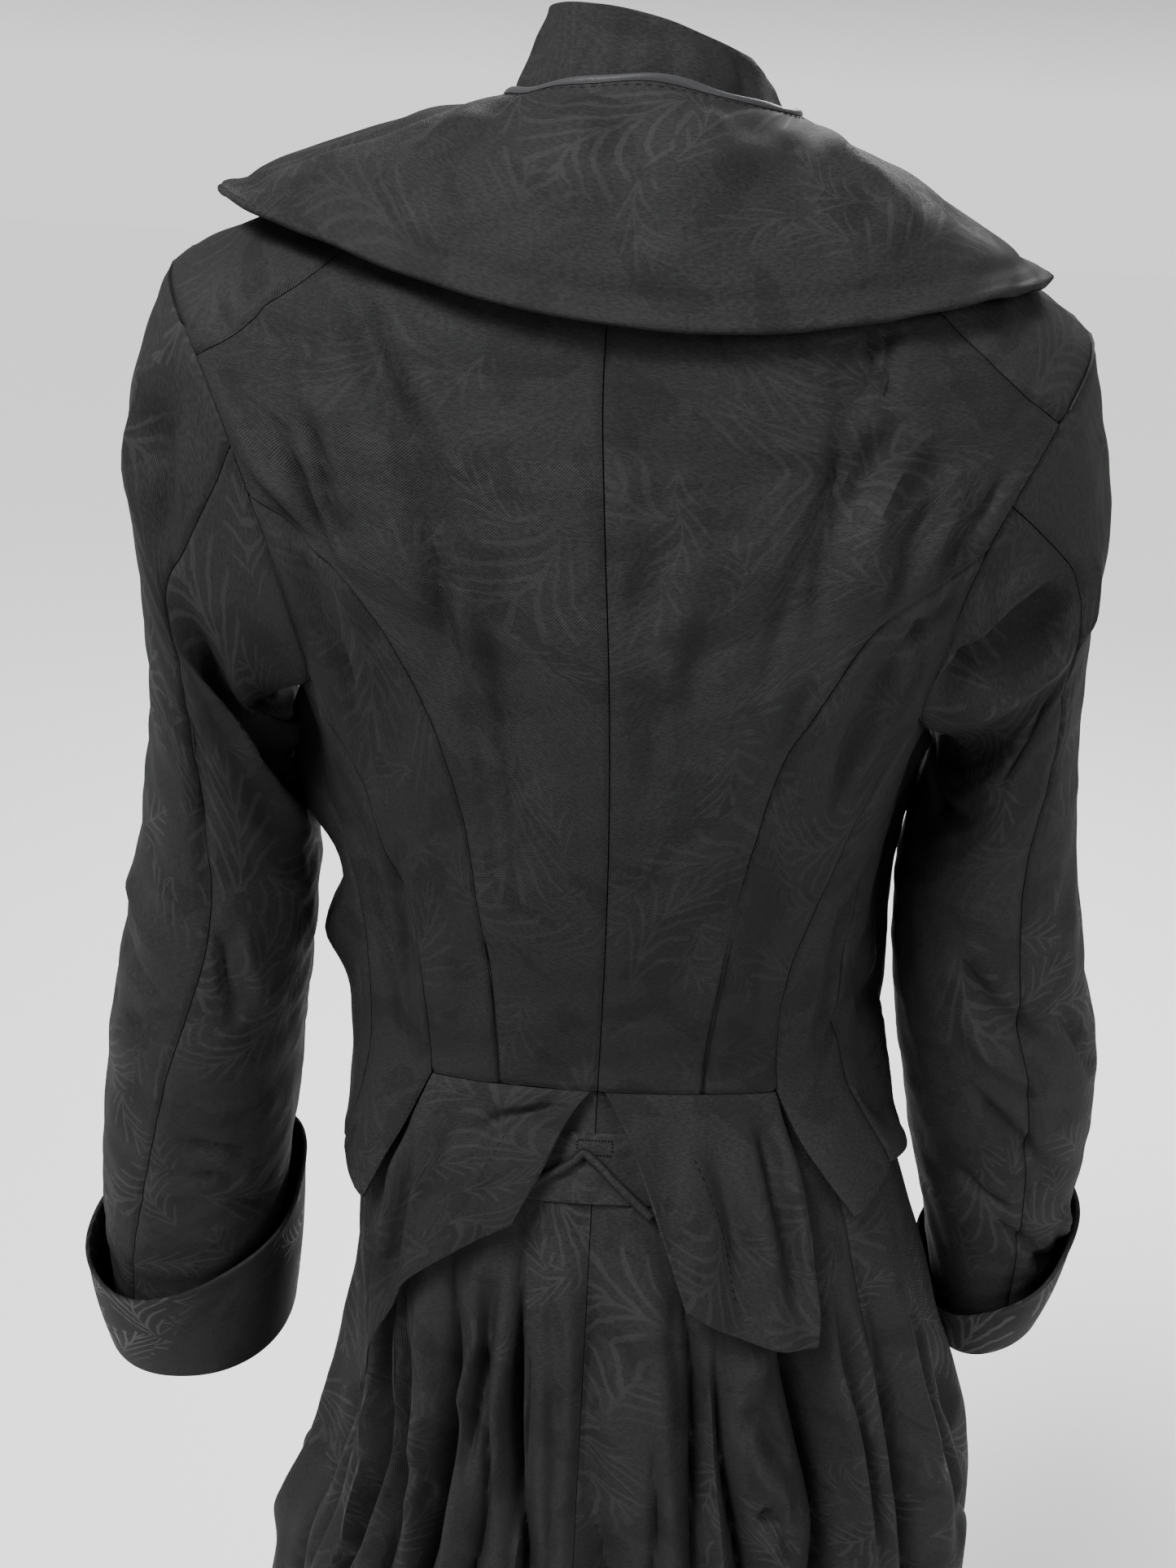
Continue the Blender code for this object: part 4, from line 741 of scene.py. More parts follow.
def sleeve_normals(step, level, side):
    """The sleeve's outward normals. On the left the steps turn the other way round."""
    found = normals(lambda a, b: sleeve(a, b, side), step, np.maximum(level, 0.03))
    return -found * side_sign(side)


def mitre(step, side):
    """The shared normal at the armhole seam, half way between the body's and the sleeve's."""
    edge = armhole(step, side)
    both = normals(body, edge[..., 0], edge[..., 1]) + sleeve_normals(step, np.zeros(np.shape(step)), side)
    return both / np.linalg.norm(both, axis=-1, keepdims=True)


def patch(top, bottom, left, right):
    """Fills four edges with a grid of angle and level (a Coons patch). Left and right run down."""
    s = np.linspace(0, 1, len(top))[None, :, None]
    t = np.linspace(0, 1, len(left))[:, None, None]
    ruled = (1 - t) * top[None] + t * bottom[None] + (1 - s) * left[:, None] + s * right[:, None]
    corners = (1 - t) * ((1 - s) * top[0] + s * top[-1]) + t * ((1 - s) * bottom[0] + s * bottom[-1])
    return ruled - corners


def drawn_in(points, gap):
    """Draws a grid of points in from its edges by the gap, along its own rows and columns."""
    moved = points.copy()
    for axis in (0, 1):
        view = np.swapaxes(moved, 0, axis)
        original = np.swapaxes(points, 0, axis)
        for edge, inside in ((0, 1), (-1, -2)):
            step = original[inside] - original[edge]
            view[edge] += gap * step / np.maximum(np.linalg.norm(step, axis=-1, keepdims=True), 1e-9)
    return moved


def mirrored(points, side):
    return np.asarray(points, float) * (side_sign(side), 1.0)


def seam(points, count, side):
    return along(mirrored(points, side), count)


def joined(*runs):
    """Puts runs of points end to end, dropping each repeated joint."""
    return np.concatenate([runs[0]] + [run[1:] for run in runs[1:]])


def level_place(rows, level):
    """Reads a table of places, each with its level last, on the smooth curve through them."""
    rows = np.asarray(rows, float)
    return spline(rows[:, :1], np.interp(level, rows[:, 1], np.arange(len(rows))))[..., 0]


def armhole_distance(angle, level, side):
    """How far a point of the body lies outside the armhole, as a share of its size, and the point's step."""
    off = ARMHOLE_ANGLE - side_sign(side) * angle
    up = (ARMHOLE_MIDDLE - level) / ARMHOLE_HALF
    back = power(off / ARMHOLE_BACK, 1 / ARMHOLE_BACK_ROUND)
    across = np.where(off > 0, back, power(off / ARMHOLE_FRONT, 1 / ARMHOLE_FRONT_ROUND))
    return np.hypot(across, up) - 1, np.arctan2(across, up) / (2 * np.pi) * ARMHOLE_STEPS


def body_normals(angle, level):
    """The body's normals, turned to the shared normal close to an armhole."""
    found = normals(body, angle, level)
    for side in "LR":
        distance, step = armhole_distance(angle, level, side)
        share = np.clip(1 - distance / NORMALS_TURN, 0, 1)[..., None]
        found = found + share * (mitre(step, side) - found)
    return found / np.linalg.norm(found, axis=-1, keepdims=True)


def crease_height(table, across, down):
    """The height of listed creases over a plan of the cloth in metres.

    Each row of the table is a bowed line from a start to an end, as metres across and down, then its bow, its
    half width and its rise. Along the line the height swells and dies out with smooth steps. Across it, it falls
    off as a bell curve whose width and middle wander a little along the line.
    """
    height = np.zeros(np.broadcast(across, down).shape)
    for number, (x0, y0, x1, y1, bow, half_width, rise) in enumerate(table):
        run_x, run_y = x1 - x0, y1 - y0
        length = math.hypot(run_x, run_y)
        t = ((across - x0) * run_x + (down - y0) * run_y) / length**2
        aside = ((across - x0) * run_y - (down - y0) * run_x) / length
        wander = WANDER * half_width * np.sin(WANDER_TURNS * t + WANDER_SHIFT * number)
        wander = wander - 4 * bow * t * (1 - t)
        width = half_width * (1 + SWELL * np.sin(SWELL_TURNS * t + SWELL_SHIFT * number))
        swell = smooth_step(t, 0, CREASE_START) * smooth_step(1 - t, 0, CREASE_END)
        height += CREASE_GAIN * rise * swell * np.exp(-(((aside + wander) / width) ** 2))
    return height


def ripple(across, down, seed):
    """A low unevenness of worn cloth: a sum of plane waves 22 to 85 mm long in random directions."""
    chance = np.random.default_rng(seed)
    height = np.zeros(np.broadcast(across, down).shape)
    for _ in range(RIPPLE_WAVES):
        turn, phase = chance.uniform(0, 2 * np.pi, 2)
        wave = 2 * np.pi / chance.uniform(*RIPPLE_LENGTHS)
        height += np.sin(wave * (across * np.cos(turn) + down * np.sin(turn)) + phase)
    return RIPPLE_HEIGHT * height / math.sqrt(RIPPLE_WAVES)


def body_plan(angle, level):
    """Body angle and level as metres of cloth across and down."""
    half_width = spline([(row[1] + row[2]) / 2 for row in BODY_ROWS], level)
    return np.radians(angle) * half_width, level * LEVEL_LENGTH


def sleeve_plan(step, level):
    """Armhole step and sleeve level as metres of cloth across and down."""
    return step * STEP_LENGTH, level * SLEEVE_LEVEL_LENGTH


def planned(table, plan):
    """A crease table in metres of cloth: its starts and ends by a form's plan, the rest from millimetres."""
    return [(*plan(first, first_level), *plan(last, last_level), *(size / 1000 for size in shape))
            for first, first_level, last, last_level, *shape in table]


def body_relief(angle, level, table):
    """Creases and ripple of the body's cloth, dying out at the armholes' seams."""
    across, down = body_plan(angle, level)
    height = crease_height(planned(table, body_plan), across, down) + ripple(across, down, BODY_SEED)
    for side in "LR":
        height = height * smooth_step(armhole_distance(angle, level, side)[0], 0.0, CREASES_CALM)
    return height


def sleeve_relief(step, level, side):
    """Creases and ripple of a sleeve's cloth, the same on both sides of where the steps start again."""
    rows = planned(SLEEVE_CREASES[side], sleeve_plan)
    around = np.sin(step * 2 * np.pi / ARMHOLE_STEPS) * ARM_BREADTH
    height = ripple(around, sleeve_plan(step, level)[1], SLEEVE_SEED + ord(side))
    for turn in (-ARMHOLE_STEPS, 0, ARMHOLE_STEPS):
        height = height + crease_height(rows, *sleeve_plan(step + turn, level))
    return height * smooth_step(level, 0.0, SLEEVE_CALM)


def fine(grid):
    """A grid with extra rows and columns close to its edges, so that the edges can be shaped."""
    for axis in (0, 1):
        count = grid.shape[axis]
        near = np.array(EDGE_ROWS)
        places = np.concatenate([[0], near, np.arange(1, count - 1), count - 1 - near[::-1], [count - 1]])
        low = np.minimum(places.astype(int), count - 2)
        share = (places - low).reshape((-1,) + (1,) * (grid.ndim - 1))
        view = np.moveaxis(grid, axis, 0)
        grid = np.moveaxis(view[low] * (1 - share) + view[low + 1] * share, 0, axis)
    return grid


def edge_relief(points, seams):
    """The shaping along a piece's edges: a dip into the stitching at a seam, a little thickness at a hem.

    The seams are given for the top, bottom, left and right edge: S for a seam, H for a hem, - for a bare edge.
    """
    height = np.zeros(points.shape[:2])
    edges = (points[:1], points[-1:], points[:, :1], points[:, -1:])
    for kind, edge in zip(seams, edges):
        distance = np.linalg.norm(points - edge, axis=-1)
        if kind == "S":
            height -= SEAM_DIP * np.exp(-((distance / SEAM_REACH) ** 2))
            height += SEAM_SWELL * np.exp(-(((distance - SEAM_ALLOWANCE) / SEAM_REACH) ** 2))
        elif kind == "H":
            past = smooth_step(distance, HEM_DEPTH, HEM_DEPTH * HEM_FADE)
            height += HEM_SWELL * (smooth_step(distance, 0, HEM_ROLL) - past)
    return height


def grid_normals(points, out, closed=False):
    """Unit normals of a grid from its own rows and columns, on the side of the given outward directions."""
    if closed:
        wide = np.concatenate([points[:, -1:], points, points[:, :1]], axis=1)
        across = (wide[:, 2:] - wide[:, :-2]) / 2
    else:
        across = np.gradient(points, axis=1)
    found = np.cross(np.gradient(points, axis=0), across)
    found /= np.maximum(np.linalg.norm(found, axis=-1, keepdims=True), 1e-12)
    return found * (1.0 if (found * out).sum() > 0 else -1.0)


def with_allowance(points, out, which):
    """Adds the seam allowance at the left or right edges: a step in below the edge, then level on."""
    for edge, inside, where in ((0, 1, "left"), (-1, -2, "right")):
        if where not in which:
            continue
        step = points[:, edge] - points[:, inside]
        way = step / np.maximum(np.linalg.norm(step, axis=-1, keepdims=True), 1e-9)
        below = points[:, edge] - ALLOWANCE_DEPTH * out[:, edge]
        added = [(below + reach * way)[:, None] for reach in (ALLOWANCE_STEP, ALLOWANCE_WIDTH)]
        turned = [out[:, edge][:, None]] * 2
        if where == "left":
            points, out = np.concatenate(added[::-1] + [points], 1), np.concatenate(turned + [out], 1)
        else:
            points, out = np.concatenate([points] + added, 1), np.concatenate([out] + turned, 1)
    return points, out


def cloth_plan(points):
    """The cloth laid out flat, in metres: along each row from the middle column, and down that column."""
    middle = points.shape[1] // 2
    steps = np.linalg.norm(np.diff(points, axis=1), axis=-1)
    across = np.concatenate([np.zeros((len(points), 1)), np.cumsum(steps, axis=1)], axis=1)
    across = across - across[:, middle:middle + 1]
    drop = np.linalg.norm(np.diff(points[:, middle], axis=0), axis=-1)
    down = np.concatenate([[0], np.cumsum(drop)])
    return np.stack([across, -np.broadcast_to(down[:, None], across.shape)], axis=-1)


def cloth(name, points, out, finish, wall=None, closed=False, turn=0.0):
    """Makes a closed thin wall of cloth: the grid of its outer face, an inner face below it and rims.

    The plan of the cloth is its UV map, in metres, turned and shifted for each piece as pieces are on a bolt.
    """
    wall = wall or sizes().cloth_wall
    rows, columns = points.shape[:2]
    face_normals = grid_normals(points, out, closed)
    plain = np.cross(points[1, 1] - points[0, 1], points[1, 1] - points[1, 0])
    flipped = (plain * face_normals[1, 1]).sum() < 0
    index = np.arange(rows * columns).reshape(rows, columns)
    if closed:
        index = np.concatenate([index, index[:, :1]], axis=1)
    other = index + rows * columns

    def quads(grid):
        corners = (grid[:-1, :-1], grid[1:, :-1], grid[1:, 1:], grid[:-1, 1:])
        return np.stack(corners, axis=-1).reshape(-1, 4)

    def rim(near, far):
        return np.stack([near[:-1], near[1:], far[1:], far[:-1]], axis=-1)

    def faces_of(near, far):
        sides = [rim(near[0], far[0]), rim(near[-1], far[-1])[:, ::-1]]
        if not closed:
            sides += [rim(near[:, 0], far[:, 0])[:, ::-1], rim(near[:, -1], far[:, -1])]
        found = np.concatenate([quads(near), quads(far)[:, ::-1]] + sides)
        return found[:, ::-1] if flipped else found

    both = np.concatenate([points.reshape(-1, 3), (points - wall * face_normals).reshape(-1, 3)])
    wide = np.concatenate([points, points[:, :1]], axis=1) if closed else points
    shift = np.random.default_rng(sum(map(ord, name))).uniform(-1, 1, 2)
    cosine, sine = math.cos(turn), math.sin(turn)
    plan = cloth_plan(wide).reshape(-1, 2) @ np.array(((cosine, sine), (-sine, cosine))) + shift
    plan_index = np.arange(len(plan)).reshape(wide.shape[:2])
    corners = plan[faces_of(plan_index, plan_index).ravel()]
    return mesh_piece(name, both, faces_of(index, other), finish, corners)


def mesh_piece(name, points, faces, finish, plan=None):
    """Adds a mesh from arrays of points and faces, smooth, riding on the coat's body.

    The plan, given for each corner of each face, becomes its UV map.
    """
    mesh = bpy.data.meshes.new(name)
    sides = faces.shape[1]
    mesh.vertices.add(len(points))
    mesh.vertices.foreach_set("co", np.ascontiguousarray(points, np.float32).ravel())
    mesh.loops.add(faces.size)
    mesh.loops.foreach_set("vertex_index", faces.ravel().astype(np.int32))
    mesh.polygons.add(len(faces))
    mesh.polygons.foreach_set("loop_start", np.arange(0, faces.size, sides, dtype=np.int32))
    mesh.update(calc_edges=True)
    mesh.validate()
    if plan is not None:
        layer = mesh.uv_layers.new(name="plan")
        layer.uv.foreach_set("vector", plan.astype(np.float32).ravel())
    mesh.shade_smooth()
    mesh.set_sharp_from_angle(angle=math.radians(SHARP_ANGLE))
    mesh.materials.append(finish)
    made = bpy.data.objects.new(name, mesh)
    bpy.context.scene.collection.objects.link(made)
    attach(made, "root")
    return made


def sizes():
    return bpy.context.scene.coat_sizes


def colours():
    return bpy.context.scene.coat_colours


def declare(piece, node):
    """The piece stands for its solid, which is hidden."""
    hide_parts(node)


class Wire:
    """A number from a node's socket. Maths on wires adds Math nodes."""

    def __init__(self, maker, socket):
        self.maker, self.socket = maker, socket

    def math(self, operation, *values):
        return self.maker.node("ShaderNodeMath", {"operation": operation}, *values)

    def __add__(self, other):
        return self.math("ADD", self, other)

    def __radd__(self, other):
        return self.math("ADD", other, self)

    def __sub__(self, other):
        return self.math("SUBTRACT", self, other)

    def __rsub__(self, other):
        return self.math("SUBTRACT", other, self)

    def __mul__(self, other):
        return self.math("MULTIPLY", self, other)

    def __rmul__(self, other):
        return self.math("MULTIPLY", other, self)

    def __truediv__(self, other):
        return self.math("DIVIDE", self, other)

    def sine(self):
        return self.math("SINE", self)

    def cosine(self):
        return self.math("COSINE", self)

    def size(self):
        return self.math("ABSOLUTE", self)

    def most(self, other):
        return self.math("MAXIMUM", self, other)

    def between(self, start, end):
        """A soft mask: 0 below the start, 1 above the end. With the start above the end it falls instead."""
        made = self.maker.add("ShaderNodeMapRange", {"interpolation_type": "SMOOTHSTEP"})
        self.maker.feed(made.inputs[0], self)
        low, high = min(start, end), max(start, end)
        ends = (0.0, 1.0) if start < end else (1.0, 0.0)
        for number, value in zip((1, 2, 3, 4), (low, high, *ends)):
            made.inputs[number].default_value = value
        return Wire(self.maker, made.outputs[0])


class Finish:
    """One material: its shader, and the one way in which nodes are added to it."""

    def __init__(self, name, roughness, sheen=0.0):
        self.material = bpy.data.materials.new(name)
        self.material.use_nodes = True
        self.tree = self.material.node_tree
        self.shader = self.tree.nodes["Principled BSDF"]
        self.shader.inputs["Roughness"].default_value = roughness
        self.shader.inputs["Sheen Weight"].default_value = sheen
        self.shader.inputs["Sheen Roughness"].default_value = 0.4
        self.shader.inputs["Specular IOR Level"].default_value = GLOSS

    def add(self, kind, settings):
        made = self.tree.nodes.new(kind)
        for key, value in settings.items():
            setattr(made, key, value)
        return made

    def feed(self, socket, value):
        if isinstance(value, Wire):
            self.tree.links.new(value.socket, socket)
        else:
            socket.default_value = value

    def node(self, kind, settings, *values, output=0, **named):
        """Adds a node with its settings, feeds its sockets in order or by name, and returns an output."""
        made = self.add(kind, settings)
        for socket, value in zip(made.inputs, values):
            self.feed(socket, value)
        for key, value in named.items():
            self.feed(made.inputs[key.replace("_", " ")], value)
        return Wire(self, made.outputs[output])

    def mix(self, share, first, second):
        """Mixes two colours by a share."""
        made = self.add("ShaderNodeMix", {"data_type": "RGBA"})
        self.feed(made.inputs[0], share)
        self.feed(made.inputs[6], first)
        self.feed(made.inputs[7], second)
        return Wire(self, made.outputs[2])

    def plan(self):
        """Where a point lies on the flat cloth, in metres."""
        return self.node("ShaderNodeUVMap", {"uv_map": "plan"})

    def noise(self, place, scale, detail=2.0, roughness=0.5):
        return self.node("ShaderNodeTexNoise", {"noise_dimensions": "2D"}, Vector=place, Scale=scale,
                         Detail=detail, Roughness=roughness)

    def stretched(self, place, scale):
        """A place scaled along each axis, so that a pattern on it runs long along the smaller one."""
        return self.node("ShaderNodeVectorMath", {"operation": "MULTIPLY"}, place, scale)

    def apart(self, place):
        made = self.add("ShaderNodeSeparateXYZ", {})
        self.feed(made.inputs[0], place)
        return Wire(self, made.outputs[0]), Wire(self, made.outputs[1])

    def bump(self, height, distance, strength=1.0):
        """Raises the surface by the height, up to a distance in metres, over any bump that it has."""
        made = self.add("ShaderNodeBump", {})
        made.inputs["Distance"].default_value = distance
        made.inputs["Strength"].default_value = strength
        self.feed(made.inputs["Height"], height)
        before = self.shader.inputs["Normal"]
        if before.is_linked:
            self.tree.links.new(before.links[0].from_socket, made.inputs["Normal"])
        self.tree.links.new(made.outputs[0], before)


def warped(finish, place, scale, reach):
    """Shifts a place by noise, so that a pattern on it bends."""
    noise = finish.node("ShaderNodeTexNoise", {"noise_dimensions": "2D"}, output="Color", Vector=place,
                        Scale=scale, Detail=1.0)
    centred = finish.node("ShaderNodeVectorMath", {"operation": "SUBTRACT"}, noise, (0.5, 0.5, 0.5))
    shift = finish.node("ShaderNodeVectorMath", {"operation": "SCALE"}, centred, Scale=reach)
    return finish.node("ShaderNodeVectorMath", {"operation": "ADD"}, place, shift)


def sprays(finish, place, length, width, leaflets, bend):
    """A layer of leaf sprays, one in each cell of a Voronoi pattern, turned at random.

    In a cell, x runs along the spray and y off its bent midrib. The spray is the lens where y is less than its
    width times one less x squared. Its leaflets are the crests of a sine of x less a curve of y that starts
    steep and flattens, and they thin out towards the lens's edge. Returns the leaflets with their midrib, and
    the whole lens.
    """
    cells = finish.add("ShaderNodeTexVoronoi", {"voronoi_dimensions": "2D"})
    cells.inputs["Scale"].default_value = SPRAY_CLOSENESS / length
    cells.inputs["Randomness"].default_value = SPRAY_CHANCE
    finish.feed(cells.inputs["Vector"], place)
    chance = finish.add("ShaderNodeSeparateColor", {})
    finish.feed(chance.inputs[0], Wire(finish, cells.outputs["Color"]))
    turn = Wire(finish, chance.outputs[0]) * (2 * math.pi)
    local = finish.node("ShaderNodeVectorMath", {"operation": "SUBTRACT"}, place,
                        Wire(finish, cells.outputs["Position"]))
    x0, y0 = finish.apart(local)
    x = (x0 * turn.cosine() + y0 * turn.sine()) / length
    side = Wire(finish, chance.outputs[1]).between(0.45, 0.55) * 2.0 - 1.0
    y = (y0 * turn.cosine() - x0 * turn.sine()) / length + side * bend * x * x
    off = y.size()
    lens = (off - width * (1.0 - x * x)).between(*SPRAY_EDGE)
    slanted = x - off * LEAFLET_SLANT + off * off * LEAFLET_CURVE
    crest = (slanted * (math.pi * leaflets)).sine() - off / width * LEAFLET_THINS
    return lens * crest.between(*LEAFLET_EDGE).most(off.between(*MIDRIB_EDGE)), lens


def jacquard(part):
    """The coat's figured cloth for one part of it: a fine twill with satin leaf sprays, dark on dark."""
    made = Finish(f"{part}_cloth", 0.7)
    place = made.plan()
    bent = warped(made, warped(made, place, 8.0, 0.040), 150.0, 0.0022)
    large, large_lens = sprays(made, bent, *LARGE_SPRAY)
    small, _ = sprays(made, warped(made, place, 16.0, 0.020), *SMALL_SPRAY)
    frayed = warped(made, warped(made, place, 22.0, 0.03), 230.0, 0.006)
    ragged = made.noise(frayed, 30.0).between(0.56, 0.585)
    clear = made.noise(place, 9.0, 1.0).between(0.38, 0.58)
    # The satin sprays' mask: the woven figure, which below also lightens the base colour as a painted sheen
    satin = large.most(small * (1.0 - large_lens)) * clear * SPRAY_FIGURE_AND_PAINTED_SHEEN[part]
    x, y = made.apart(place)
    twill = ((x + y * TWILL_SLANT) * (2 * math.pi / sizes().twill_pitch)).sine()
    slubs = made.noise(made.stretched(place, (0.35, 1, 1)), 1100.0, 2.0, 0.7).between(0.25, 0.75)
    patchy = made.noise(warped(made, place, 12.0, 0.04), 11.0, 4.0, 0.65).between(0.25, 0.75)
    worn = patchy * 0.18 + slubs * 0.9 + twill * 0.16 - ragged * 0.35
    ground = made.mix(worn, colours().ground, colours().ground_worn)
    # Painted sheen: the sprays are lighter in colour than the ground, partly for the figure, partly standing in
    # for satin's sheen
    made.feed(made.shader.inputs["Base Color"], made.mix(satin, ground, colours().satin))
    made.feed(made.shader.inputs["Roughness"], 0.68 - satin * 0.28)
    made.bump(twill, 0.00008, 0.8)
    made.bump(satin, 0.00014, 0.6)
    crumple = made.stretched(warped(made, place, 30.0, 0.02), (0.6, 1, 1))
    made.bump(made.noise(crumple, 140.0, 3.0, 0.6), 0.0010, 0.45)
    made.bump(made.noise(place, 36.0), 0.0020, 0.35)
    return made.material


def satin_binding(name):
    """The binding's plain satin: a fine thread across the strip and a soft lengthwise sheen."""
    made = Finish(name, 0.42, 0.05)
    place = made.plan()
    x, y = made.apart(place)
    worn = made.noise(place, 60.0).between(0.3, 0.7)
    made.feed(made.shader.inputs["Base Color"], made.mix(worn * 0.4, colours().binding, colours().satin))
    made.bump(((x + y * 0.4) * (2 * math.pi / sizes().twill_pitch)).sine(), 0.00004, 0.4)
    made.bump(made.noise(place, 260.0), 0.0004, 0.4)
    return made.material


def thread(name):
    """Sewing thread: dark, with a slight twist."""
    made = Finish(name, 0.7)
    place = made.node("ShaderNodeTexCoord", {}, output="Object")
    worn = made.noise(place, 900.0, 1.0)
    made.feed(made.shader.inputs["Base Color"], made.mix(worn, colours().thread, colours().ground))
    made.bump(worn, 0.0001, 0.5)
    return made.material


def hole(first, last, side, fineness):
    """Points of the armhole's edge from one step to another."""
    return armhole(np.linspace(first, last, abs(last - first) * fineness + 1), side)


def shoulder_line(side, fineness):
    """The shoulder seam, from the neck to the armhole."""
    return seam([*SHOULDER_SEAM[:-1], tuple(armhole(SHOULDER_STEP, "R"))], SHOULDER_STEPS * fineness, side)


def from_armhole(step, rows, count, side):
    """A seam that starts on the armhole's edge at a step and runs on through its table's later rows."""
    return seam([tuple(armhole(step, "R")), *rows[1:]], count, side)


def princess_line(side, fineness):
    return from_armhole(PRINCESS_STEP, PRINCESS, PRINCESS_STEPS * fineness, side)


def side_back_line(side, fineness):
    return from_armhole(SIDE_BACK_STEP, SIDE_BACK, SIDE_BACK_STEPS * fineness, side)


def side_line(side, fineness):
    return from_armhole(UNDERARM_STEP, SIDE[side], (SIDE_STEPS + FLAP_STEPS) * fineness, side)


def straight(first, last, count, side):
    return np.linspace(mirrored(first, side), mirrored(last, side), count + 1)


def back_grid(side):
    down = BACK_FINENESS
    right = joined(shoulder_line(side, down), hole(SHOULDER_STEP, PRINCESS_STEP, side, down),
                   princess_line(side, down))
    left = along(CENTRE_BACK, len(right) - 1)
    top = np.linspace(left[0], right[0], BACK_COLUMNS + 1)
    bottom = np.linspace(left[-1], right[-1], BACK_COLUMNS + 1)
    return patch(top, bottom, left, right)


def side_back_grid(side):
    down = BACK_FINENESS
    right = joined(hole(SIDE_BACK_CORNER, SIDE_BACK_STEP, side, down), side_back_line(side, down))
    left = princess_line(side, down)
    top = hole(PRINCESS_STEP, SIDE_BACK_CORNER, side, SIDE_FINENESS)
    bottom = straight(PRINCESS[-1], SIDE_BACK[-1], len(top) - 1, side)
    return patch(top, bottom, left, right)


def side_grid(side):
    down = BACK_FINENESS
    left = joined(side_back_line(side, down), seam(FLAP_BACK[side], FLAP_STEPS * down, side))
    right = side_line(side, down)
    top = hole(SIDE_BACK_STEP, UNDERARM_STEP, side, SIDE_FINENESS)
    bottom = straight(FLAP_BACK[side][-1], SIDE[side][-1], len(top) - 1, side)
    return patch(top, bottom, left, right)


def front_grid(side):
    down = FRONT_FINENESS
    top = shoulder_line(side, SHOULDER_FINENESS)[::-1]
    left = joined(hole(SHOULDER_STEP, UNDERARM_STEP - ARMHOLE_STEPS, side, down), side_line(side, down))
    centre = 180.0 + LAP_ANGLE
    neck_rows = NECK_FRONT_STEPS * down
    neck = straight((NECK_SEAM_ANGLE, 0), (centre, 0), neck_rows, side)
    edge = straight((centre, 0), (centre, FRONT_HEM_LEVEL), len(left) - 1 - neck_rows, side)
    bottom = straight(SIDE[side][-1], (centre, FRONT_HEM_LEVEL), len(top) - 1, side)
    return patch(top, bottom, left, joined(neck, edge))


def flap_lift(grid):
    """The hip flap stands a little off the skirt towards its point, and the cloth bags out at the sides."""
    angle, level = grid[..., 0], grid[..., 1]
    flap = FLAP_LIFT * smooth_step(level, WAIST, FRONT_HEM_LEVEL) * smooth_step(np.abs(angle), *FLAP_ANGLES)
    return flap + crease_height(planned(SIDE_FULLNESS, body_plan), *body_plan(angle, level))


def panel(name, grid, finish, seams, lift=None, table=BODY_CREASES, turn=0.0):
    """A piece of the body: its grid of angle and level on the coat's form, lifted, creased and sewn."""
    grid = fine(grid)
    angle, level = grid[..., 0], grid[..., 1]
    out = body_normals(angle, level)
    base = drawn_in(body(angle, level), sizes().seam_gap / 2)
    height = body_relief(angle, level, table) + edge_relief(base, seams)
    if lift is not None:
        height = height + lift(grid)
    return cloth(name, base + height[..., None] * out, out, finish, turn=turn)


def lapped(grid):
    """The right front rises over the left where they lap."""
    return flap_lift(grid) + LAP_LIFT * smooth_step(np.abs(grid[..., 0]), *LAP_RISE)


def arm_grid(side, under):
    """A sleeve piece's grid of step and level, from one of the sleeve's seams to the other."""
    level = np.linspace(0, len(SLEEVE_ROWS[side]), SLEEVE_ROWS_FINE + 1)
    hind = level_place(HIND_SEAM[side], level)
    fore = np.interp(level, [row[1] for row in FORE_SEAM], [row[0] for row in FORE_SEAM])
    start, end = (hind, fore) if under else (fore - ARMHOLE_STEPS, hind)
    share = np.linspace(0, 1, SLEEVE_COLUMNS + 1)
    step = start[:, None] + (end - start)[:, None] * share
    return np.stack([step, np.broadcast_to(level[:, None], step.shape)], axis=-1)


def sleeve_piece(name, side, under, finish):
    """A sleeve piece: its grid of step and level on the sleeve's form, creased and sewn."""
    grid = fine(arm_grid(side, under))
    step, level = grid[..., 0], grid[..., 1]
    out = sleeve_normals(step, level, side)
    out[0] = mitre(step[0], side)
    base = drawn_in(sleeve(step, level, side), sizes().seam_gap / 2)
    height = sleeve_relief(step, level, side) + edge_relief(base, "S-SS")
    points = base + height[..., None] * out
    if under:
        points, out = with_allowance(points, out, ("left", "right"))
    return cloth(name, points, out, finish)


def rolled(start, end, out):
    """A rolled edge from one ring of points to another: a half circle that bulges the way out."""
    turn = np.linspace(0, np.pi, ROLL_ROWS + 2)[1:-1, None, None]
    middle, half = (start + end) / 2, (start - end) / 2
    radius = np.linalg.norm(half, axis=-1, keepdims=True)
    return middle + half * np.cos(turn) + radius * out * np.sin(turn)


def fold_rings(outside, inside, out_end):
    """A folded layer's rings: down the outside, round a rolled edge and up the inside."""
    return np.concatenate([outside, rolled(outside[-1], inside[0], out_end), inside])


def unit(vectors):
    return vectors / np.maximum(np.linalg.norm(vectors, axis=-1, keepdims=True), 1e-12)


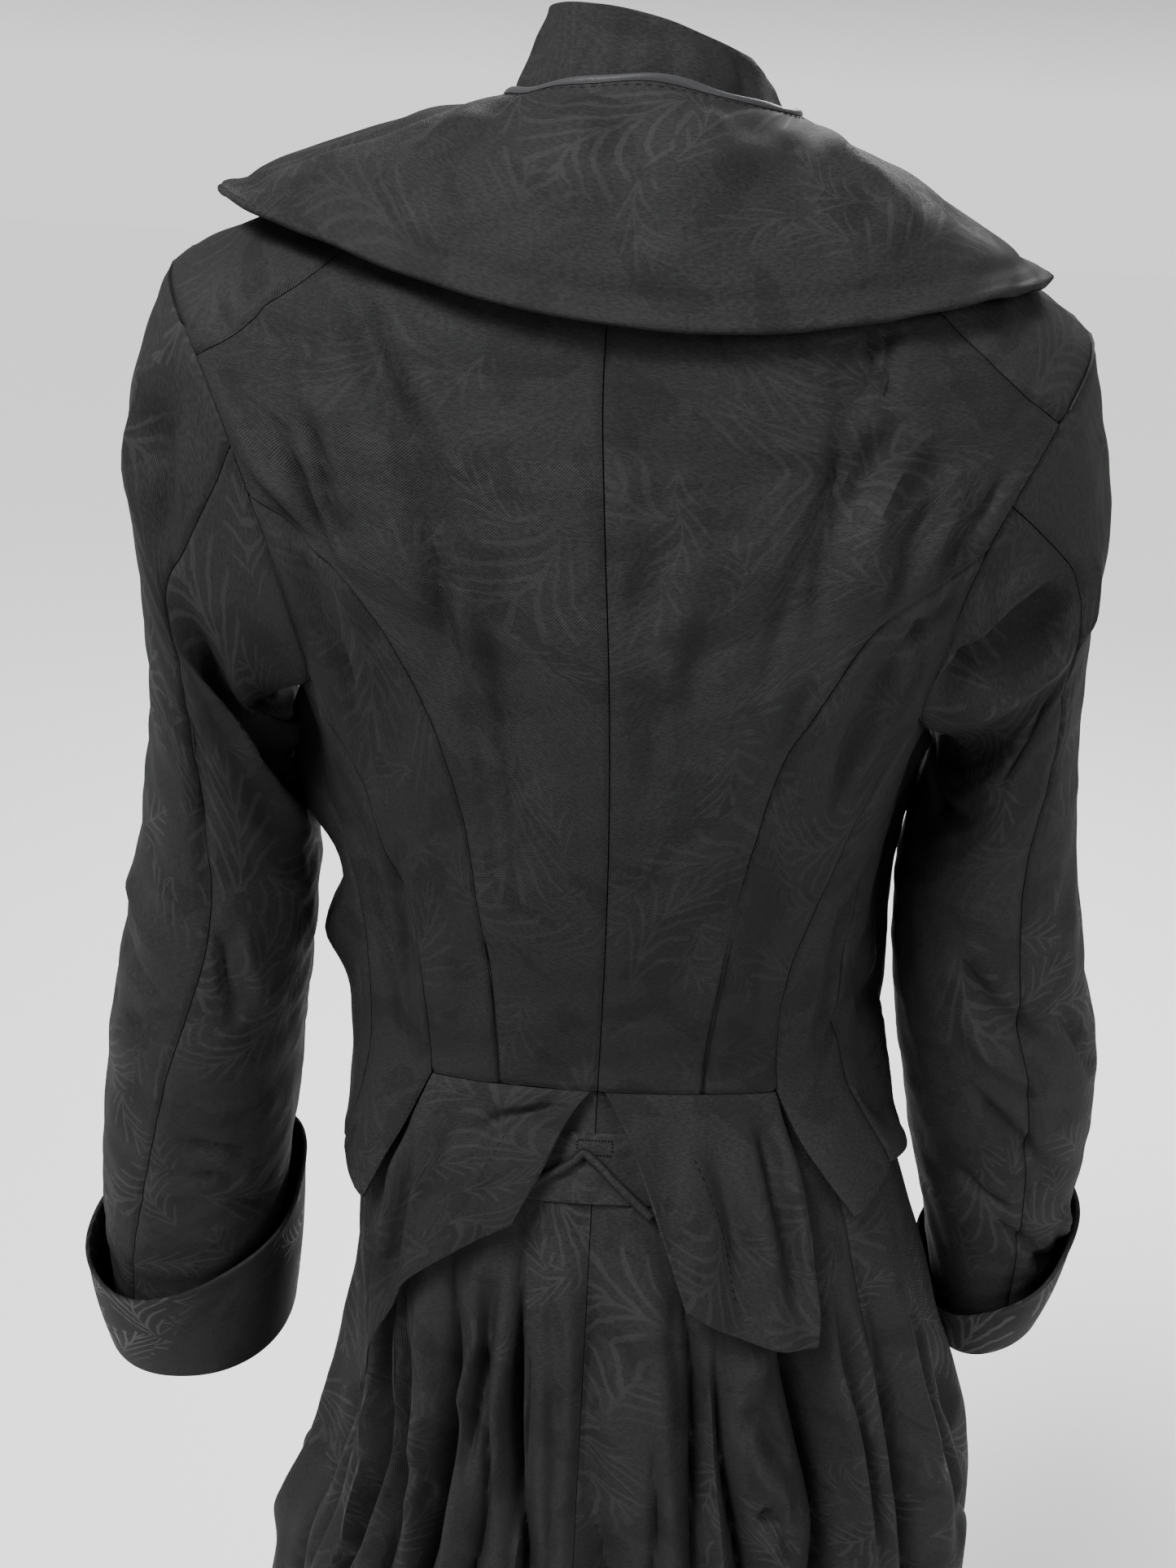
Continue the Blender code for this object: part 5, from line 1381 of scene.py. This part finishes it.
def cuff_rings(side):
    """The cuff as rings: from inside over the rolled rim, down the outside and in at the sleeve's end.

    The face runs straight from the foot to the rim, bowed by half a sine, waved by sines round the arm that grow
    towards the rim, and raised by a bell curve at the rim.
    """
    step = np.linspace(0, ARMHOLE_STEPS, CUFF_COLUMNS, endpoint=False)
    last = np.full(step.shape, float(len(SLEEVE_ROWS[side])))
    out = sleeve_normals(step, last, side)
    low = sleeve(step, last, side)
    rim = arm_ring(CUFF_RIM[side], step, side)
    up = unit(rim - low)
    foot = low + CUFF_OFF * out
    shares = np.linspace(1, 0, CUFF_RISE_ROWS)[:, None, None]
    face = foot + shares * (rim - foot)
    bow = CUFF_BOW * np.sin(np.pi * shares)
    turn = 2 * np.pi * step / ARMHOLE_STEPS
    wave = sum(height * np.sin(count * turn + shift) for height, count, shift in CUFF_WAVES)
    ridge = CUFF_RIDGE * np.exp(-(((1 - shares) / CUFF_RIDGE_WIDTH) ** 2))
    face = face + (bow + wave[None, :, None] * shares + ridge) * out
    lip_shares = np.linspace(0, 1, LIP_ROWS)[:, None, None]
    lip = face[0] - CUFF_THICKNESS * out - CUFF_LIP * lip_shares * up
    tuck = low - (sizes().cloth_wall + CUFF_CLEAR) * out + CUFF_TUCK * lip_shares * up
    rings = np.concatenate([lip[::-1], rolled(lip[0], face[0], up), face, rolled(face[-1], tuck[0], -up), tuck])
    ways = ((-out, LIP_ROWS), (up, ROLL_ROWS), (out, CUFF_RISE_ROWS), (-up, ROLL_ROWS), (-out, LIP_ROWS))
    return rings, np.concatenate([np.broadcast_to(way, (count, *way.shape)) for way, count in ways])


def stand(angle, level):
    """The stand collar's outer form, its upper edge lower on the right."""
    made = collar_form(STAND_ROWS, angle, level, BODY_SLOPE)
    made[..., 2] -= STAND_TILT * made[..., 0] * np.asarray(level) / (len(STAND_ROWS) - 1)
    made[..., 0] += COLLAR_SHIFT
    return made


def cape(angle, level):
    """The cape collar's outer form, from the neck down to its lower edge."""
    made = collar_form(CAPE_ROWS, angle, level, CAPE_SLOPE)
    share = np.asarray(level) / (len(CAPE_ROWS) - 1)
    made[..., 2] -= CAPE_TILT * made[..., 0] * share
    made[..., 0] += COLLAR_SHIFT * (1 - share)
    return made


def collar_fold(form, end, levels, inner_levels, gap, relief, columns):
    """A collar folded at one edge: its outer face, the rolled edge and the layer below, with their ways out."""
    around = np.linspace(-end, end, columns)
    angle, level = np.meshgrid(around, levels)
    turned = normals(form, angle, level)
    face = form(angle, level) + relief(angle, level)[..., None] * turned
    angle, level = np.meshgrid(around, inner_levels)
    under_turned = normals(form, angle, level)
    under = form(angle, level) + (relief(angle, level)[..., None] - gap) * under_turned
    way = unit(face[-1] - face[-3])
    outward = np.concatenate([turned, np.broadcast_to(way, (ROLL_ROWS, *way.shape)), -under_turned])
    return fold_rings(face, under, way), outward


def collar_relief(angle, level, table, plan, unevenness, seed):
    """Creases and ripple of a collar's cloth over its plan: radius, and gain and length of a level."""
    radius, flare, length = plan

    def place(angle, level):
        return np.radians(angle) * (radius + flare * level), level * length

    across, down = place(angle, level)
    return crease_height(planned(table, place), across, down) + unevenness * ripple(across, down, seed)


def cape_relief(angle, level):
    """The cape collar's soft creases, with a ridge and a groove along its lower edge, each a bell curve."""
    last = len(CAPE_ROWS) - 1.0
    ridge = CAPE_RIDGE * np.exp(-(((last - level) / CAPE_RIDGE_WIDTH) ** 2))
    groove = CAPE_GROOVE * np.exp(-(((last - CAPE_GROOVE_IN - level) / CAPE_RIDGE_WIDTH) ** 2))
    return collar_relief(angle, level, CAPE_CREASES, CAPE_PLAN, CAPE_RIPPLE, CAPE_SEED) + (ridge - groove)


def stand_relief(angle, level):
    """The stand's softness: a few upright dents and a low ripple."""
    return collar_relief(angle, level, STAND_CREASES, STAND_PLAN, STAND_RIPPLE, STAND_SEED)


def tail_rise(angle, level, from_inner):
    """How far a tail lies off the skirt: it lifts at its inner edge and its hem, and rolls in soft waves."""
    low = smooth_step(level, WAIST, WAIST + PEPLUM_STARTS)
    wave = PEPLUM_WAVE * np.sin(np.abs(angle) * PEPLUM_WAVES) ** 2
    return low * (PEPLUM_OFF + PEPLUM_EDGE_LIFT * (1 - from_inner) ** 2 + wave)


def peplum_lift(grid):
    """The tail's rise over its own grid."""
    return tail_rise(grid[..., 0], grid[..., 1], np.linspace(0, 1, grid.shape[1])[None, :])


def tail_grid(side):
    edges = PEPLUM[side]
    inner = seam(edges["inner"], TAIL_CELLS, side)
    outer = seam(edges["outer"], TAIL_CELLS, side)
    hem = seam(edges["hem"], TAIL_CELLS, side)[::-1]
    top = straight(edges["inner"][0], edges["outer"][0], TAIL_CELLS, side)
    return patch(top, hem, inner, outer)


def tab_grid():
    top, bottom = (straight((-TAB_HALF_ANGLE, level), (TAB_HALF_ANGLE, level), TAB_CELLS, "R")
                   for level in (TAB_TOP, TAB_BOTTOM))
    left, right = (straight((angle, TAB_TOP), (angle, TAB_BOTTOM), TAB_CELLS // 2, "R")
                   for angle in (-TAB_HALF_ANGLE, TAB_HALF_ANGLE))
    return patch(top, bottom, left, right)


def skirt_fold(angle, level):
    """How far the folds take the skirt in at each point: for each fold, a trough with a narrow crevice in it."""
    depth = np.zeros(np.broadcast(angle, level).shape)
    sway, sway_turns, sway_shift = FOLD_WANDER
    uneven, uneven_turns, uneven_shift = FOLD_UNEVEN
    for number, (top, bend, bottom, deep, width, start) in enumerate(SKIRT_FOLDS):
        middle = np.interp(level, (WAIST, FOLD_BEND_LEVEL, HEM), (top, bend, bottom))
        turn = sway_turns * level + sway_shift * number
        middle = middle + sway * width * np.sin(turn) * smooth_step(level, start, start + FOLD_LOOSENS)
        growth = smooth_step(level, start, start + FOLD_GROWS)
        growth = growth * (1 - uneven * np.sin(uneven_turns * level + uneven_shift * number) ** 2)
        off = np.abs(angle - middle) / width
        crevice = CREVICE * (width < SOFT_FOLD) * smooth_step(np.abs(angle), *CREVICE_CLEAR)
        crevice = crevice * np.exp(-((off / CREVICE_WIDTH) ** CREVICE_SHARPNESS))
        depth += deep * growth * (np.exp(-(off**FOLD_SHARPNESS)) + crevice)
    return depth


def skirt(angle, level):
    """The skirt's outer form: the body form, let in under the tails and taken in at each fold."""
    angle, level = np.broadcast_arrays(np.asarray(angle, float), np.asarray(level, float))
    under = SKIRT_UNDER_WAIST + (SKIRT_UNDER - SKIRT_UNDER_WAIST) * smooth_step(level, *SKIRT_GOES_UNDER)
    inward = under + skirt_fold(angle, level)
    return body(angle, level) - inward[..., None] * normals(body, angle, level)


def skirt_relief(angle, level):
    """Creases and ripple of the skirt. Under the tails, what rises is held low."""
    across, down = body_plan(angle, level)
    height = crease_height(planned(SKIRT_CREASES, body_plan), across, down)
    height = height + SKIRT_RIPPLE * ripple(across, down, SKIRT_SEED)
    held = SKIRT_HELD + (1 - SKIRT_HELD) * smooth_step(level, *SKIRT_COMES_OUT)
    return np.where(height > 0, height * held, height)


def skirt_piece(name, side, start, end, columns, finish):
    """A skirt panel from one seam to the next, with its rows closer together under the tails."""
    angle = side_sign(side) * np.linspace(start, end, columns + 1)
    share = np.linspace(0, 1, SKIRT_ROWS_FINE + 1)
    level = SKIRT_TOP + (HEM - SKIRT_TOP) * (SKIRT_EVEN * share + (1 - SKIRT_EVEN) * share**2)
    grid = fine(np.stack(np.meshgrid(angle, level), axis=-1))
    angle, level = grid[..., 0], grid[..., 1]
    out = normals(skirt, angle, level)
    base = drawn_in(skirt(angle, level), sizes().seam_gap / 2)
    seams = "SH-S" if start == 0.0 else "SHSS"
    height = skirt_relief(angle, level) + edge_relief(base, seams)
    points = base + height[..., None] * normals(body, angle, level)
    points, out = with_allowance(points, out, SKIRT_ALLOWANCES.get(name, ()))
    return cloth(name, points, out, finish)


def tube(centre, radius, sides):
    """A round tube along a line of points: rings turned with the line, from a frame carried along it."""
    way = unit(np.gradient(centre, axis=0))
    side = unit(np.cross(way, (0.0, 1.0, 0.0)))
    up = np.cross(side, way)
    turn = np.linspace(0, 2 * np.pi, sides, endpoint=False)[None, :, None]
    return centre[:, None] + radius * (np.cos(turn) * side[:, None] + np.sin(turn) * up[:, None])


def capped(rings):
    """Closes a tube's two ends: the first and the last ring are drawn in to small rings."""
    ends = []
    for ring_points in (rings[:1], rings[-1:]):
        middle = ring_points.mean(1, keepdims=True)
        ends.append(middle + END_RING * (ring_points - middle))
    return np.concatenate([ends[0], rings, ends[1]])


def ring_faces(rows, columns):
    """Quads of a closed tube's rings, then a fan of quads over each end by pairs of points."""
    index = np.arange(rows * columns).reshape(rows, columns)
    round_about = np.concatenate([index, index[:, :1]], axis=1)
    corners = (round_about[:-1, :-1], round_about[:-1, 1:], round_about[1:, 1:], round_about[1:, :-1])
    quads = np.stack(corners, axis=-1).reshape(-1, 4)
    half = columns // 2
    ends = []
    for row, forward in ((index[0], False), (index[-1], True)):
        near, far = row[:half], row[:half - 1:-1]
        strip = np.stack([near[:-1], near[1:], far[1:], far[:-1]], axis=-1)
        ends.append(strip if forward else strip[:, ::-1])
    return np.concatenate([quads] + ends)


def right_way_out(piece):
    """Turns a closed mesh's faces outwards."""
    shape = bmesh.new()
    shape.from_mesh(piece.data)
    bmesh.ops.recalc_face_normals(shape, faces=shape.faces)
    shape.to_mesh(piece.data)
    shape.free()


def closed_piece(name, rings, finish, shift=0):
    """A closed solid piece from rings of points, its plan shifted along."""
    faces = ring_faces(*rings.shape[:2])
    plan = cloth_plan(rings).reshape(-1, 2)[faces.ravel()] + shift
    made = mesh_piece(name, rings.reshape(-1, 3), faces, finish, plan)
    right_way_out(made)
    return made


def button_axes(level):
    """The axes of a button's seat on the right front: side, up and out."""
    out = normals(body, np.float64(180.0), np.float64(level))
    side = unit(np.cross((0.0, 0.0, 1.0), out))
    return side, np.cross(out, side), out


def button_profile():
    """The button's rise and reach as shares of its half thickness and radius: a flat back, a rim and a dome."""
    back = np.linspace(0, 1, 15)[1:]
    rise = np.concatenate([back * 0.2 - 1.0, np.linspace(-0.7, 0.4, 7), np.linspace(0.55, 1.0, 12)])
    reach = np.concatenate([back * 0.86, 0.9 + 0.1 * np.sin(np.linspace(0.1, 3.0, 7)),
                            0.9 * np.cos(np.linspace(0.12, 1.54, 12))])
    return rise, reach


def stitches(centre, out, length, width, height):
    """Thread stitches as small six-sided prisms along a line: every other stretch of the line is a stitch."""
    run = np.concatenate([[0], np.cumsum(np.linalg.norm(np.diff(centre, axis=0), axis=1))])
    count = int(run[-1] / (2 * length))
    starts = np.arange(count) * 2 * length + length / 2
    places = np.stack([starts, starts + length * 0.5, starts + length])

    def read(values):
        return np.stack([np.interp(places, run, values[:, i]) for i in range(3)], axis=-1)

    points, up = read(centre), unit(read(out))
    side = np.cross(unit(points[2] - points[0]), up[1])
    swell = np.array((STITCH_ENDS, 1.0, STITCH_ENDS))[:, None, None]
    left = points + swell * width / 2 * side
    right = points - swell * width / 2 * side
    crown = points + swell * height * up
    low = points - STITCH_SUNK * height * up
    rings = np.stack([left, crown, right, low], axis=2)
    corners = rings.transpose(1, 0, 2, 3).reshape(-1, 3)
    one = []
    for ring_number in (0, 1):
        for corner in range(4):
            a, b = ring_number * 4 + corner, ring_number * 4 + (corner + 1) % 4
            one.append((a, b, b + 4, a + 4))
    one += [(3, 2, 1, 0), (8, 9, 10, 11)]
    faces = np.array(one)[None] + 12 * np.arange(count)[:, None, None]
    return corners, faces.reshape(-1, 4)


class COAT_PG_sizes(PropertyGroup):
    cloth_wall: FloatProperty(name="Cloth", description="Thickness of a single layer of cloth",
                              default=0.0012, min=0.0006, max=0.002, unit="LENGTH")
    seam_gap: FloatProperty(name="Seam gap", description="Dark line left between two pieces at a seam",
                            default=0.0005, min=0.0002, max=0.001, unit="LENGTH")
    twill_pitch: FloatProperty(name="Twill", description="Distance between two ribs of the twill",
                               default=0.00125, min=0.0005, max=0.003, unit="LENGTH")
    cord: FloatProperty(name="Cord", description="Diameter of the rouleau cord", default=0.0045,
                        min=0.002, max=0.006, unit="LENGTH")


class COAT_PG_colours(PropertyGroup):
    ground: FloatVectorProperty(name="Ground", description="Colour of the cloth's twill ground", size=4,
                                subtype="COLOR", default=(0.0080, 0.0080, 0.0083, 1.0), min=0, max=1)
    ground_worn: FloatVectorProperty(name="Worn ground", description="Colour of the ground where it is rubbed",
                                     size=4, subtype="COLOR", default=(0.0150, 0.0150, 0.0154, 1.0), min=0,
                                     max=1)
    # Lighter than the ground, partly as a painted sheen of the satin sprays
    satin: FloatVectorProperty(name="Satin", description="Colour of the satin leaf sprays", size=4,
                               subtype="COLOR", default=(0.0260, 0.0260, 0.0264, 1.0), min=0, max=1)
    binding: FloatVectorProperty(name="Binding", description="Colour of the collar's satin binding", size=4,
                                 subtype="COLOR", default=(0.026, 0.026, 0.028, 1.0), min=0, max=1)
    thread: FloatVectorProperty(name="Thread", description="Colour of the sewing thread", size=4,
                                subtype="COLOR", default=(0.0035, 0.0035, 0.0035, 1.0), min=0, max=1)


class COAT_OT_body(Operator):
    """Make the backs, side backs, sides and fronts"""

    bl_idname = "coat.body"
    bl_label = "Body"
    bl_options = {"REGISTER", "UNDO"}

    def execute(self, context):
        finish = jacquard("body")
        for side in "LR":
            rows = (("back", back_grid, "-SSS", None), ("side_back", side_back_grid, "SSSS", flap_lift),
                    ("side", side_grid, "SHSS", flap_lift),
                    ("front", front_grid, "SHSH", lapped if side == "R" else flap_lift))
            for name, grid, seams, lift in rows:
                piece = panel(f"{name}_{side}_cloth", grid(side), finish, seams, lift,
                              turn=BOLT_TURN.get(name, 0.0))
                declare(piece, f"{name}_{side}")
        return {"FINISHED"}


class COAT_OT_sleeves(Operator):
    """Make the two-piece sleeves"""

    bl_idname = "coat.sleeves"
    bl_label = "Sleeves"
    bl_options = {"REGISTER", "UNDO"}

    def execute(self, context):
        finish = jacquard("sleeve")
        for side in "LR":
            for name, under in (("upper_sleeve", False), ("under_sleeve", True)):
                piece = sleeve_piece(f"{name}_{side}_cloth", side, under, finish)
                declare(piece, f"{name}_{side}")
        return {"FINISHED"}


class COAT_OT_cuffs(Operator):
    """Make the turned-back cuffs, each a layer rolled over at its rim and round the sleeve's end"""

    bl_idname = "coat.cuffs"
    bl_label = "Cuffs"
    bl_options = {"REGISTER", "UNDO"}

    def execute(self, context):
        finish = jacquard("cuff")
        for side in "LR":
            rings, out = cuff_rings(side)
            piece = cloth(f"cuff_{side}_cloth", rings, out, finish, closed=True)
            declare(piece, f"cuff_{side}")
        return {"FINISHED"}


class COAT_OT_collars(Operator):
    """Make the stand collar, the cape collar and its satin binding"""

    bl_idname = "coat.collars"
    bl_label = "Collars"
    bl_options = {"REGISTER", "UNDO"}

    def execute(self, context):
        finish = jacquard("collar")
        rows, under_rows, columns = STAND_FINENESS
        top = len(STAND_ROWS) - 1.0
        under_levels = np.linspace(top, 0.2, under_rows)
        rings, out = collar_fold(stand, STAND_END, np.linspace(0, top, rows), under_levels, STAND_FOLD,
                                 stand_relief, columns)
        declare(cloth("stand_collar_cloth", rings, out, finish), "stand_collar")
        rows, under_rows, columns = CAPE_FINENESS
        last = len(CAPE_ROWS) - 1.0
        under_levels = np.linspace(last - 0.03, last - 0.6, under_rows)
        rings, out = collar_fold(cape, CAPE_END, np.linspace(0, last, rows), under_levels, CAPE_FOLD,
                                 cape_relief, columns)
        declare(cloth("cape_collar_cloth", rings, out, finish), "cape_collar")
        angle, level = np.meshgrid(np.linspace(-CAPE_END, CAPE_END, BINDING_COLUMNS),
                                   np.linspace(-0.01, BINDING_LEVEL, BINDING_ROWS))
        out = normals(cape, angle, level)
        share = np.linspace(-1, 1, BINDING_ROWS)[:, None]
        lift = cape_relief(angle, level) + BINDING_SWELL * np.sqrt(1 - BINDING_FLAT * share**2)
        piece = cloth("collar_binding_satin", cape(angle, level) + lift[..., None] * out, out,
                      satin_binding("binding_satin"), wall=BINDING_WALL)
        declare(piece, "collar_binding")
        return {"FINISHED"}


class COAT_OT_tails(Operator):
    """Make the two peplum tails and the buttonhole tab"""

    bl_idname = "coat.tails"
    bl_label = "Tails and tab"
    bl_options = {"REGISTER", "UNDO"}

    def execute(self, context):
        finish = jacquard("tail")
        for side in "LR":
            piece = panel(f"peplum_{side}_cloth", tail_grid(side), finish, "SHHH", peplum_lift, TAIL_CREASES)
            declare(piece, f"peplum_{side}")
        piece = panel("bustle_tab_cloth", tab_grid(), finish, "SHHH",
                      lambda grid: np.full(grid.shape[:2], TAB_LIFT), ())
        declare(piece, "bustle_tab")
        return {"FINISHED"}


class COAT_OT_cord(Operator):
    """Make the rouleau cord that loops below the tab's buttonhole"""

    bl_idname = "coat.cord"
    bl_label = "Cord"
    bl_options = {"REGISTER", "UNDO"}

    def execute(self, context):
        route = along(CORD_ROUTE, CORD_RINGS)
        out = normals(body, route[:, 0], route[:, 1])
        radius = sizes().cord / 2
        centre = body(route[:, 0], route[:, 1]) + (TAB_LIFT + CORD_OFF + radius) * out
        piece = closed_piece("loop_cord_rouleau", capped(tube(centre, radius, CORD_SIDES)), jacquard("cord"))
        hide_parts("loop_cord")
        return {"FINISHED"}


class COAT_OT_skirt(Operator):
    """Make the gathered skirt's six panels"""

    bl_idname = "coat.skirt"
    bl_label = "Skirt"
    bl_options = {"REGISTER", "UNDO"}

    def execute(self, context):
        finish = jacquard("skirt")
        names = ("skirt_back", "skirt_side", "skirt_front")
        for side in "LR":
            for name, start, end, columns in zip(names, SKIRT_SEAMS, SKIRT_SEAMS[1:], SKIRT_COLUMNS):
                piece = skirt_piece(f"{name}_{side}_cloth", side, start, end, columns, finish)
                declare(piece, f"{name}_{side}")
        return {"FINISHED"}


class COAT_OT_buttons(Operator):
    """Make the covered buttons, each a dome with a rolled rim and a puckered cover"""

    bl_idname = "coat.buttons"
    bl_label = "Buttons"
    bl_options = {"REGISTER", "UNDO"}

    def execute(self, context):
        finish = jacquard("button")
        turn = np.linspace(0, 2 * np.pi, 48, endpoint=False)
        rise, reach = button_profile()
        pucker = 1 + PUCKER_DEPTH * np.sin(PUCKERS * turn)[None, :] * (np.abs(rise) < 0.9)[:, None]
        radial = (reach[:, None] * BUTTON_RADIUS * pucker)[..., None]
        for number, level in enumerate(BUTTON_LEVELS, 1):
            low, high = (np.array(corner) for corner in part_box(f"button_{number}"))
            side, up, out = button_axes(level)
            ring_points = radial * (np.cos(turn)[:, None] * side + np.sin(turn)[:, None] * up)
            rings = (low + high) / 2 + ring_points + (rise * BUTTON_HALF)[:, None, None] * out
            piece = closed_piece(f"button_{number}_covered", rings, finish, number)
            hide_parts(f"button_{number}")
        return {"FINISHED"}


class COAT_OT_stitching(Operator):
    """Sew the tails' topstitching, the buttonhole and the line along the collar's binding"""

    bl_idname = "coat.stitching"
    bl_label = "Stitching"
    bl_options = {"REGISTER", "UNDO"}

    def execute(self, context):
        runs = []
        for side, line in TAIL_STITCHING.items():
            route = along(line, 120)
            angle, level = route[:, 0], route[:, 1]
            out = body_normals(angle, level)
            inner, outer = (np.interp(level, [row[1] for row in PEPLUM[side][edge]],
                                      [row[0] for row in PEPLUM[side][edge]]) for edge in ("inner", "outer"))
            share = np.clip((np.abs(angle) - inner) / (outer - inner), 0, 1)
            lift = tail_rise(angle, level, share) + body_relief(angle, level, TAIL_CREASES)
            runs.append((body(angle, level) + lift[:, None] * out, out, STITCH))
        angle = np.linspace(*BINDING_STITCH)
        level = np.full(angle.shape, BINDING_LEVEL + BINDING_STITCH_BELOW)
        out = normals(cape, angle, level)
        runs.append((cape(angle, level) + cape_relief(angle, level)[:, None] * out, out, STITCH))
        runs.append(self.buttonhole())
        parts = [stitches(centre, out, *thread_size) for centre, out, thread_size in runs]
        counts = np.cumsum([0] + [len(points) for points, _ in parts[:-1]])
        points = np.concatenate([points for points, _ in parts])
        faces = np.concatenate([faces + start for (_, faces), start in zip(parts, counts)])
        piece = mesh_piece("stitching", points, faces, thread("sewing_thread"))
        right_way_out(piece)
        return {"FINISHED"}

    def buttonhole(self):
        """A rectangle of close stitches on the tab."""
        at_angle, at_level = BUTTONHOLE_PLACE
        out = body_normals(np.array([at_angle]), np.array([at_level]))[0]
        middle = body(np.float64(at_angle), np.float64(at_level)) + (TAB_LIFT + BUTTONHOLE_OFF) * out
        side = unit(np.cross((0.0, 0.0, 1.0), out))
        up = np.cross(out, side)
        corners = np.array(((-1, -1), (1, -1), (1, 1), (-1, 1), (-1, -1))) * BUTTONHOLE_HALF
        flat = np.stack([np.interp(np.linspace(0, 4, 81), np.arange(5), corners[:, i]) for i in (0, 1)], axis=-1)
        line = middle + flat[:, :1] * -side + flat[:, 1:] * up
        return line, np.broadcast_to(out, line.shape), BUTTONHOLE_STITCH


class COAT_OT_stage(Operator):
    """Set the floor, the lights, the pale surroundings and the camera"""

    bl_idname = "coat.stage"
    bl_label = "Stage"
    bl_options = {"REGISTER", "UNDO"}

    def execute(self, context):
        self.floor()
        self.world()
        self.lights()
        self.camera()
        return {"FINISHED"}

    def put(self, name, data, matrix=None):
        """Adds an object with its data and its place to the scene."""
        made = bpy.data.objects.new(name, data)
        if matrix is not None:
            made.matrix_world = matrix
        bpy.context.scene.collection.objects.link(made)
        return made

    def floor(self):
        half = FLOOR_SIZE / 2
        corners = [(x * half, y * half, FLOOR_LEVEL) for x, y in ((-1, -1), (1, -1), (1, 1), (-1, 1))]
        mesh = bpy.data.meshes.new("floor")
        mesh.from_pydata(corners, [], [(0, 1, 2, 3)])
        finish = Finish("floor_paint", 0.85)
        finish.shader.inputs["Base Color"].default_value = (0.93, 0.93, 0.93, 1)
        mesh.materials.append(finish.material)
        self.put("floor", mesh)

    def world(self):
        world = bpy.data.worlds.new("studio")
        world.use_nodes = True
        tree = world.node_tree
        kinds = ("TexCoord", "SeparateXYZ", "MapRange")
        place, parts, band = (tree.nodes.new(f"ShaderNode{kind}") for kind in kinds)
        tree.links.new(place.outputs["Generated"], parts.inputs[0])
        tree.links.new(parts.outputs["Z"], band.inputs["Value"])
        band.inputs["From Max"].default_value = HORIZON_BAND
        band.inputs["To Min"].default_value = HORIZON_STRENGTH
        band.inputs["To Max"].default_value = WORLD_STRENGTH
        tree.links.new(band.outputs[0], tree.nodes["Background"].inputs["Strength"])
        tree.nodes["Background"].inputs["Color"].default_value = (1.0, 1.0, 1.0, 1)
        bpy.context.scene.world = world

    def lights(self):
        way, spread, strength = SUN
        data = bpy.data.lights.new("sun", "SUN")
        data.angle, data.energy = math.radians(spread), strength
        self.put("sun", data, Vector(way).to_track_quat("Z", "Y").to_matrix().to_4x4())
        for name, place, aim, size, power_watts in LIGHTS:
            data = bpy.data.lights.new(name, "AREA")
            data.shape, data.size, data.energy = "DISK", size, power_watts
            way = Vector(aim) - Vector(place)
            turned = way.to_track_quat("-Z", "Y").to_matrix().to_4x4()
            self.put(name, data, Matrix.Translation(place) @ turned)

    def camera(self):
        yaw, pitch, roll = (math.radians(turn) for turn in (CAMERA_YAW, CAMERA_PITCH, CAMERA_ROLL))
        forward = Vector((-math.sin(yaw) * math.cos(pitch), math.cos(yaw) * math.cos(pitch), -math.sin(pitch)))
        level = Vector((math.cos(yaw), math.sin(yaw), 0))
        upright = level.cross(forward)
        right = level * math.cos(roll) + upright * math.sin(roll)
        up = upright * math.cos(roll) - level * math.sin(roll)
        data = bpy.data.cameras.new("camera")
        data.sensor_width, data.lens = SENSOR, FOCAL_PIXELS / IMAGE_HEIGHT * SENSOR
        data.clip_start, data.clip_end = 0.02, 100
        turned = Matrix((right, up, -forward)).transposed().to_4x4()
        bpy.context.scene.camera = self.put("camera", data, Matrix.Translation(CAMERA_PLACE) @ turned)


STEPS = (COAT_OT_body, COAT_OT_sleeves, COAT_OT_cuffs, COAT_OT_collars, COAT_OT_tails, COAT_OT_cord,
         COAT_OT_skirt, COAT_OT_buttons, COAT_OT_stitching, COAT_OT_stage)


class COAT_PT_panel(Panel):
    """The coat's sizes, colours and steps"""

    bl_label = "Bustled coat"
    bl_space_type = "VIEW_3D"
    bl_region_type = "UI"
    bl_category = "Coat"

    def draw(self, context):
        for group in (context.scene.coat_sizes, context.scene.coat_colours):
            for name in group.bl_rna.properties.keys():
                if name not in ("rna_type", "name"):
                    self.layout.prop(group, name)
        for step in STEPS:
            self.layout.operator(step.bl_idname)


CLASSES = (COAT_PG_sizes, COAT_PG_colours, *STEPS, COAT_PT_panel)


def register():
    for made in CLASSES:
        bpy.utils.register_class(made)
    bpy.types.Scene.coat_sizes = PointerProperty(type=COAT_PG_sizes)
    bpy.types.Scene.coat_colours = PointerProperty(type=COAT_PG_colours)


def unregister():
    del bpy.types.Scene.coat_colours
    del bpy.types.Scene.coat_sizes
    for made in reversed(CLASSES):
        bpy.utils.unregister_class(made)


def main():
    register()
    for step in STEPS:
        group, name = step.bl_idname.split(".")
        getattr(getattr(bpy.ops, group), name)()


if __name__ == "__main__":
    main()
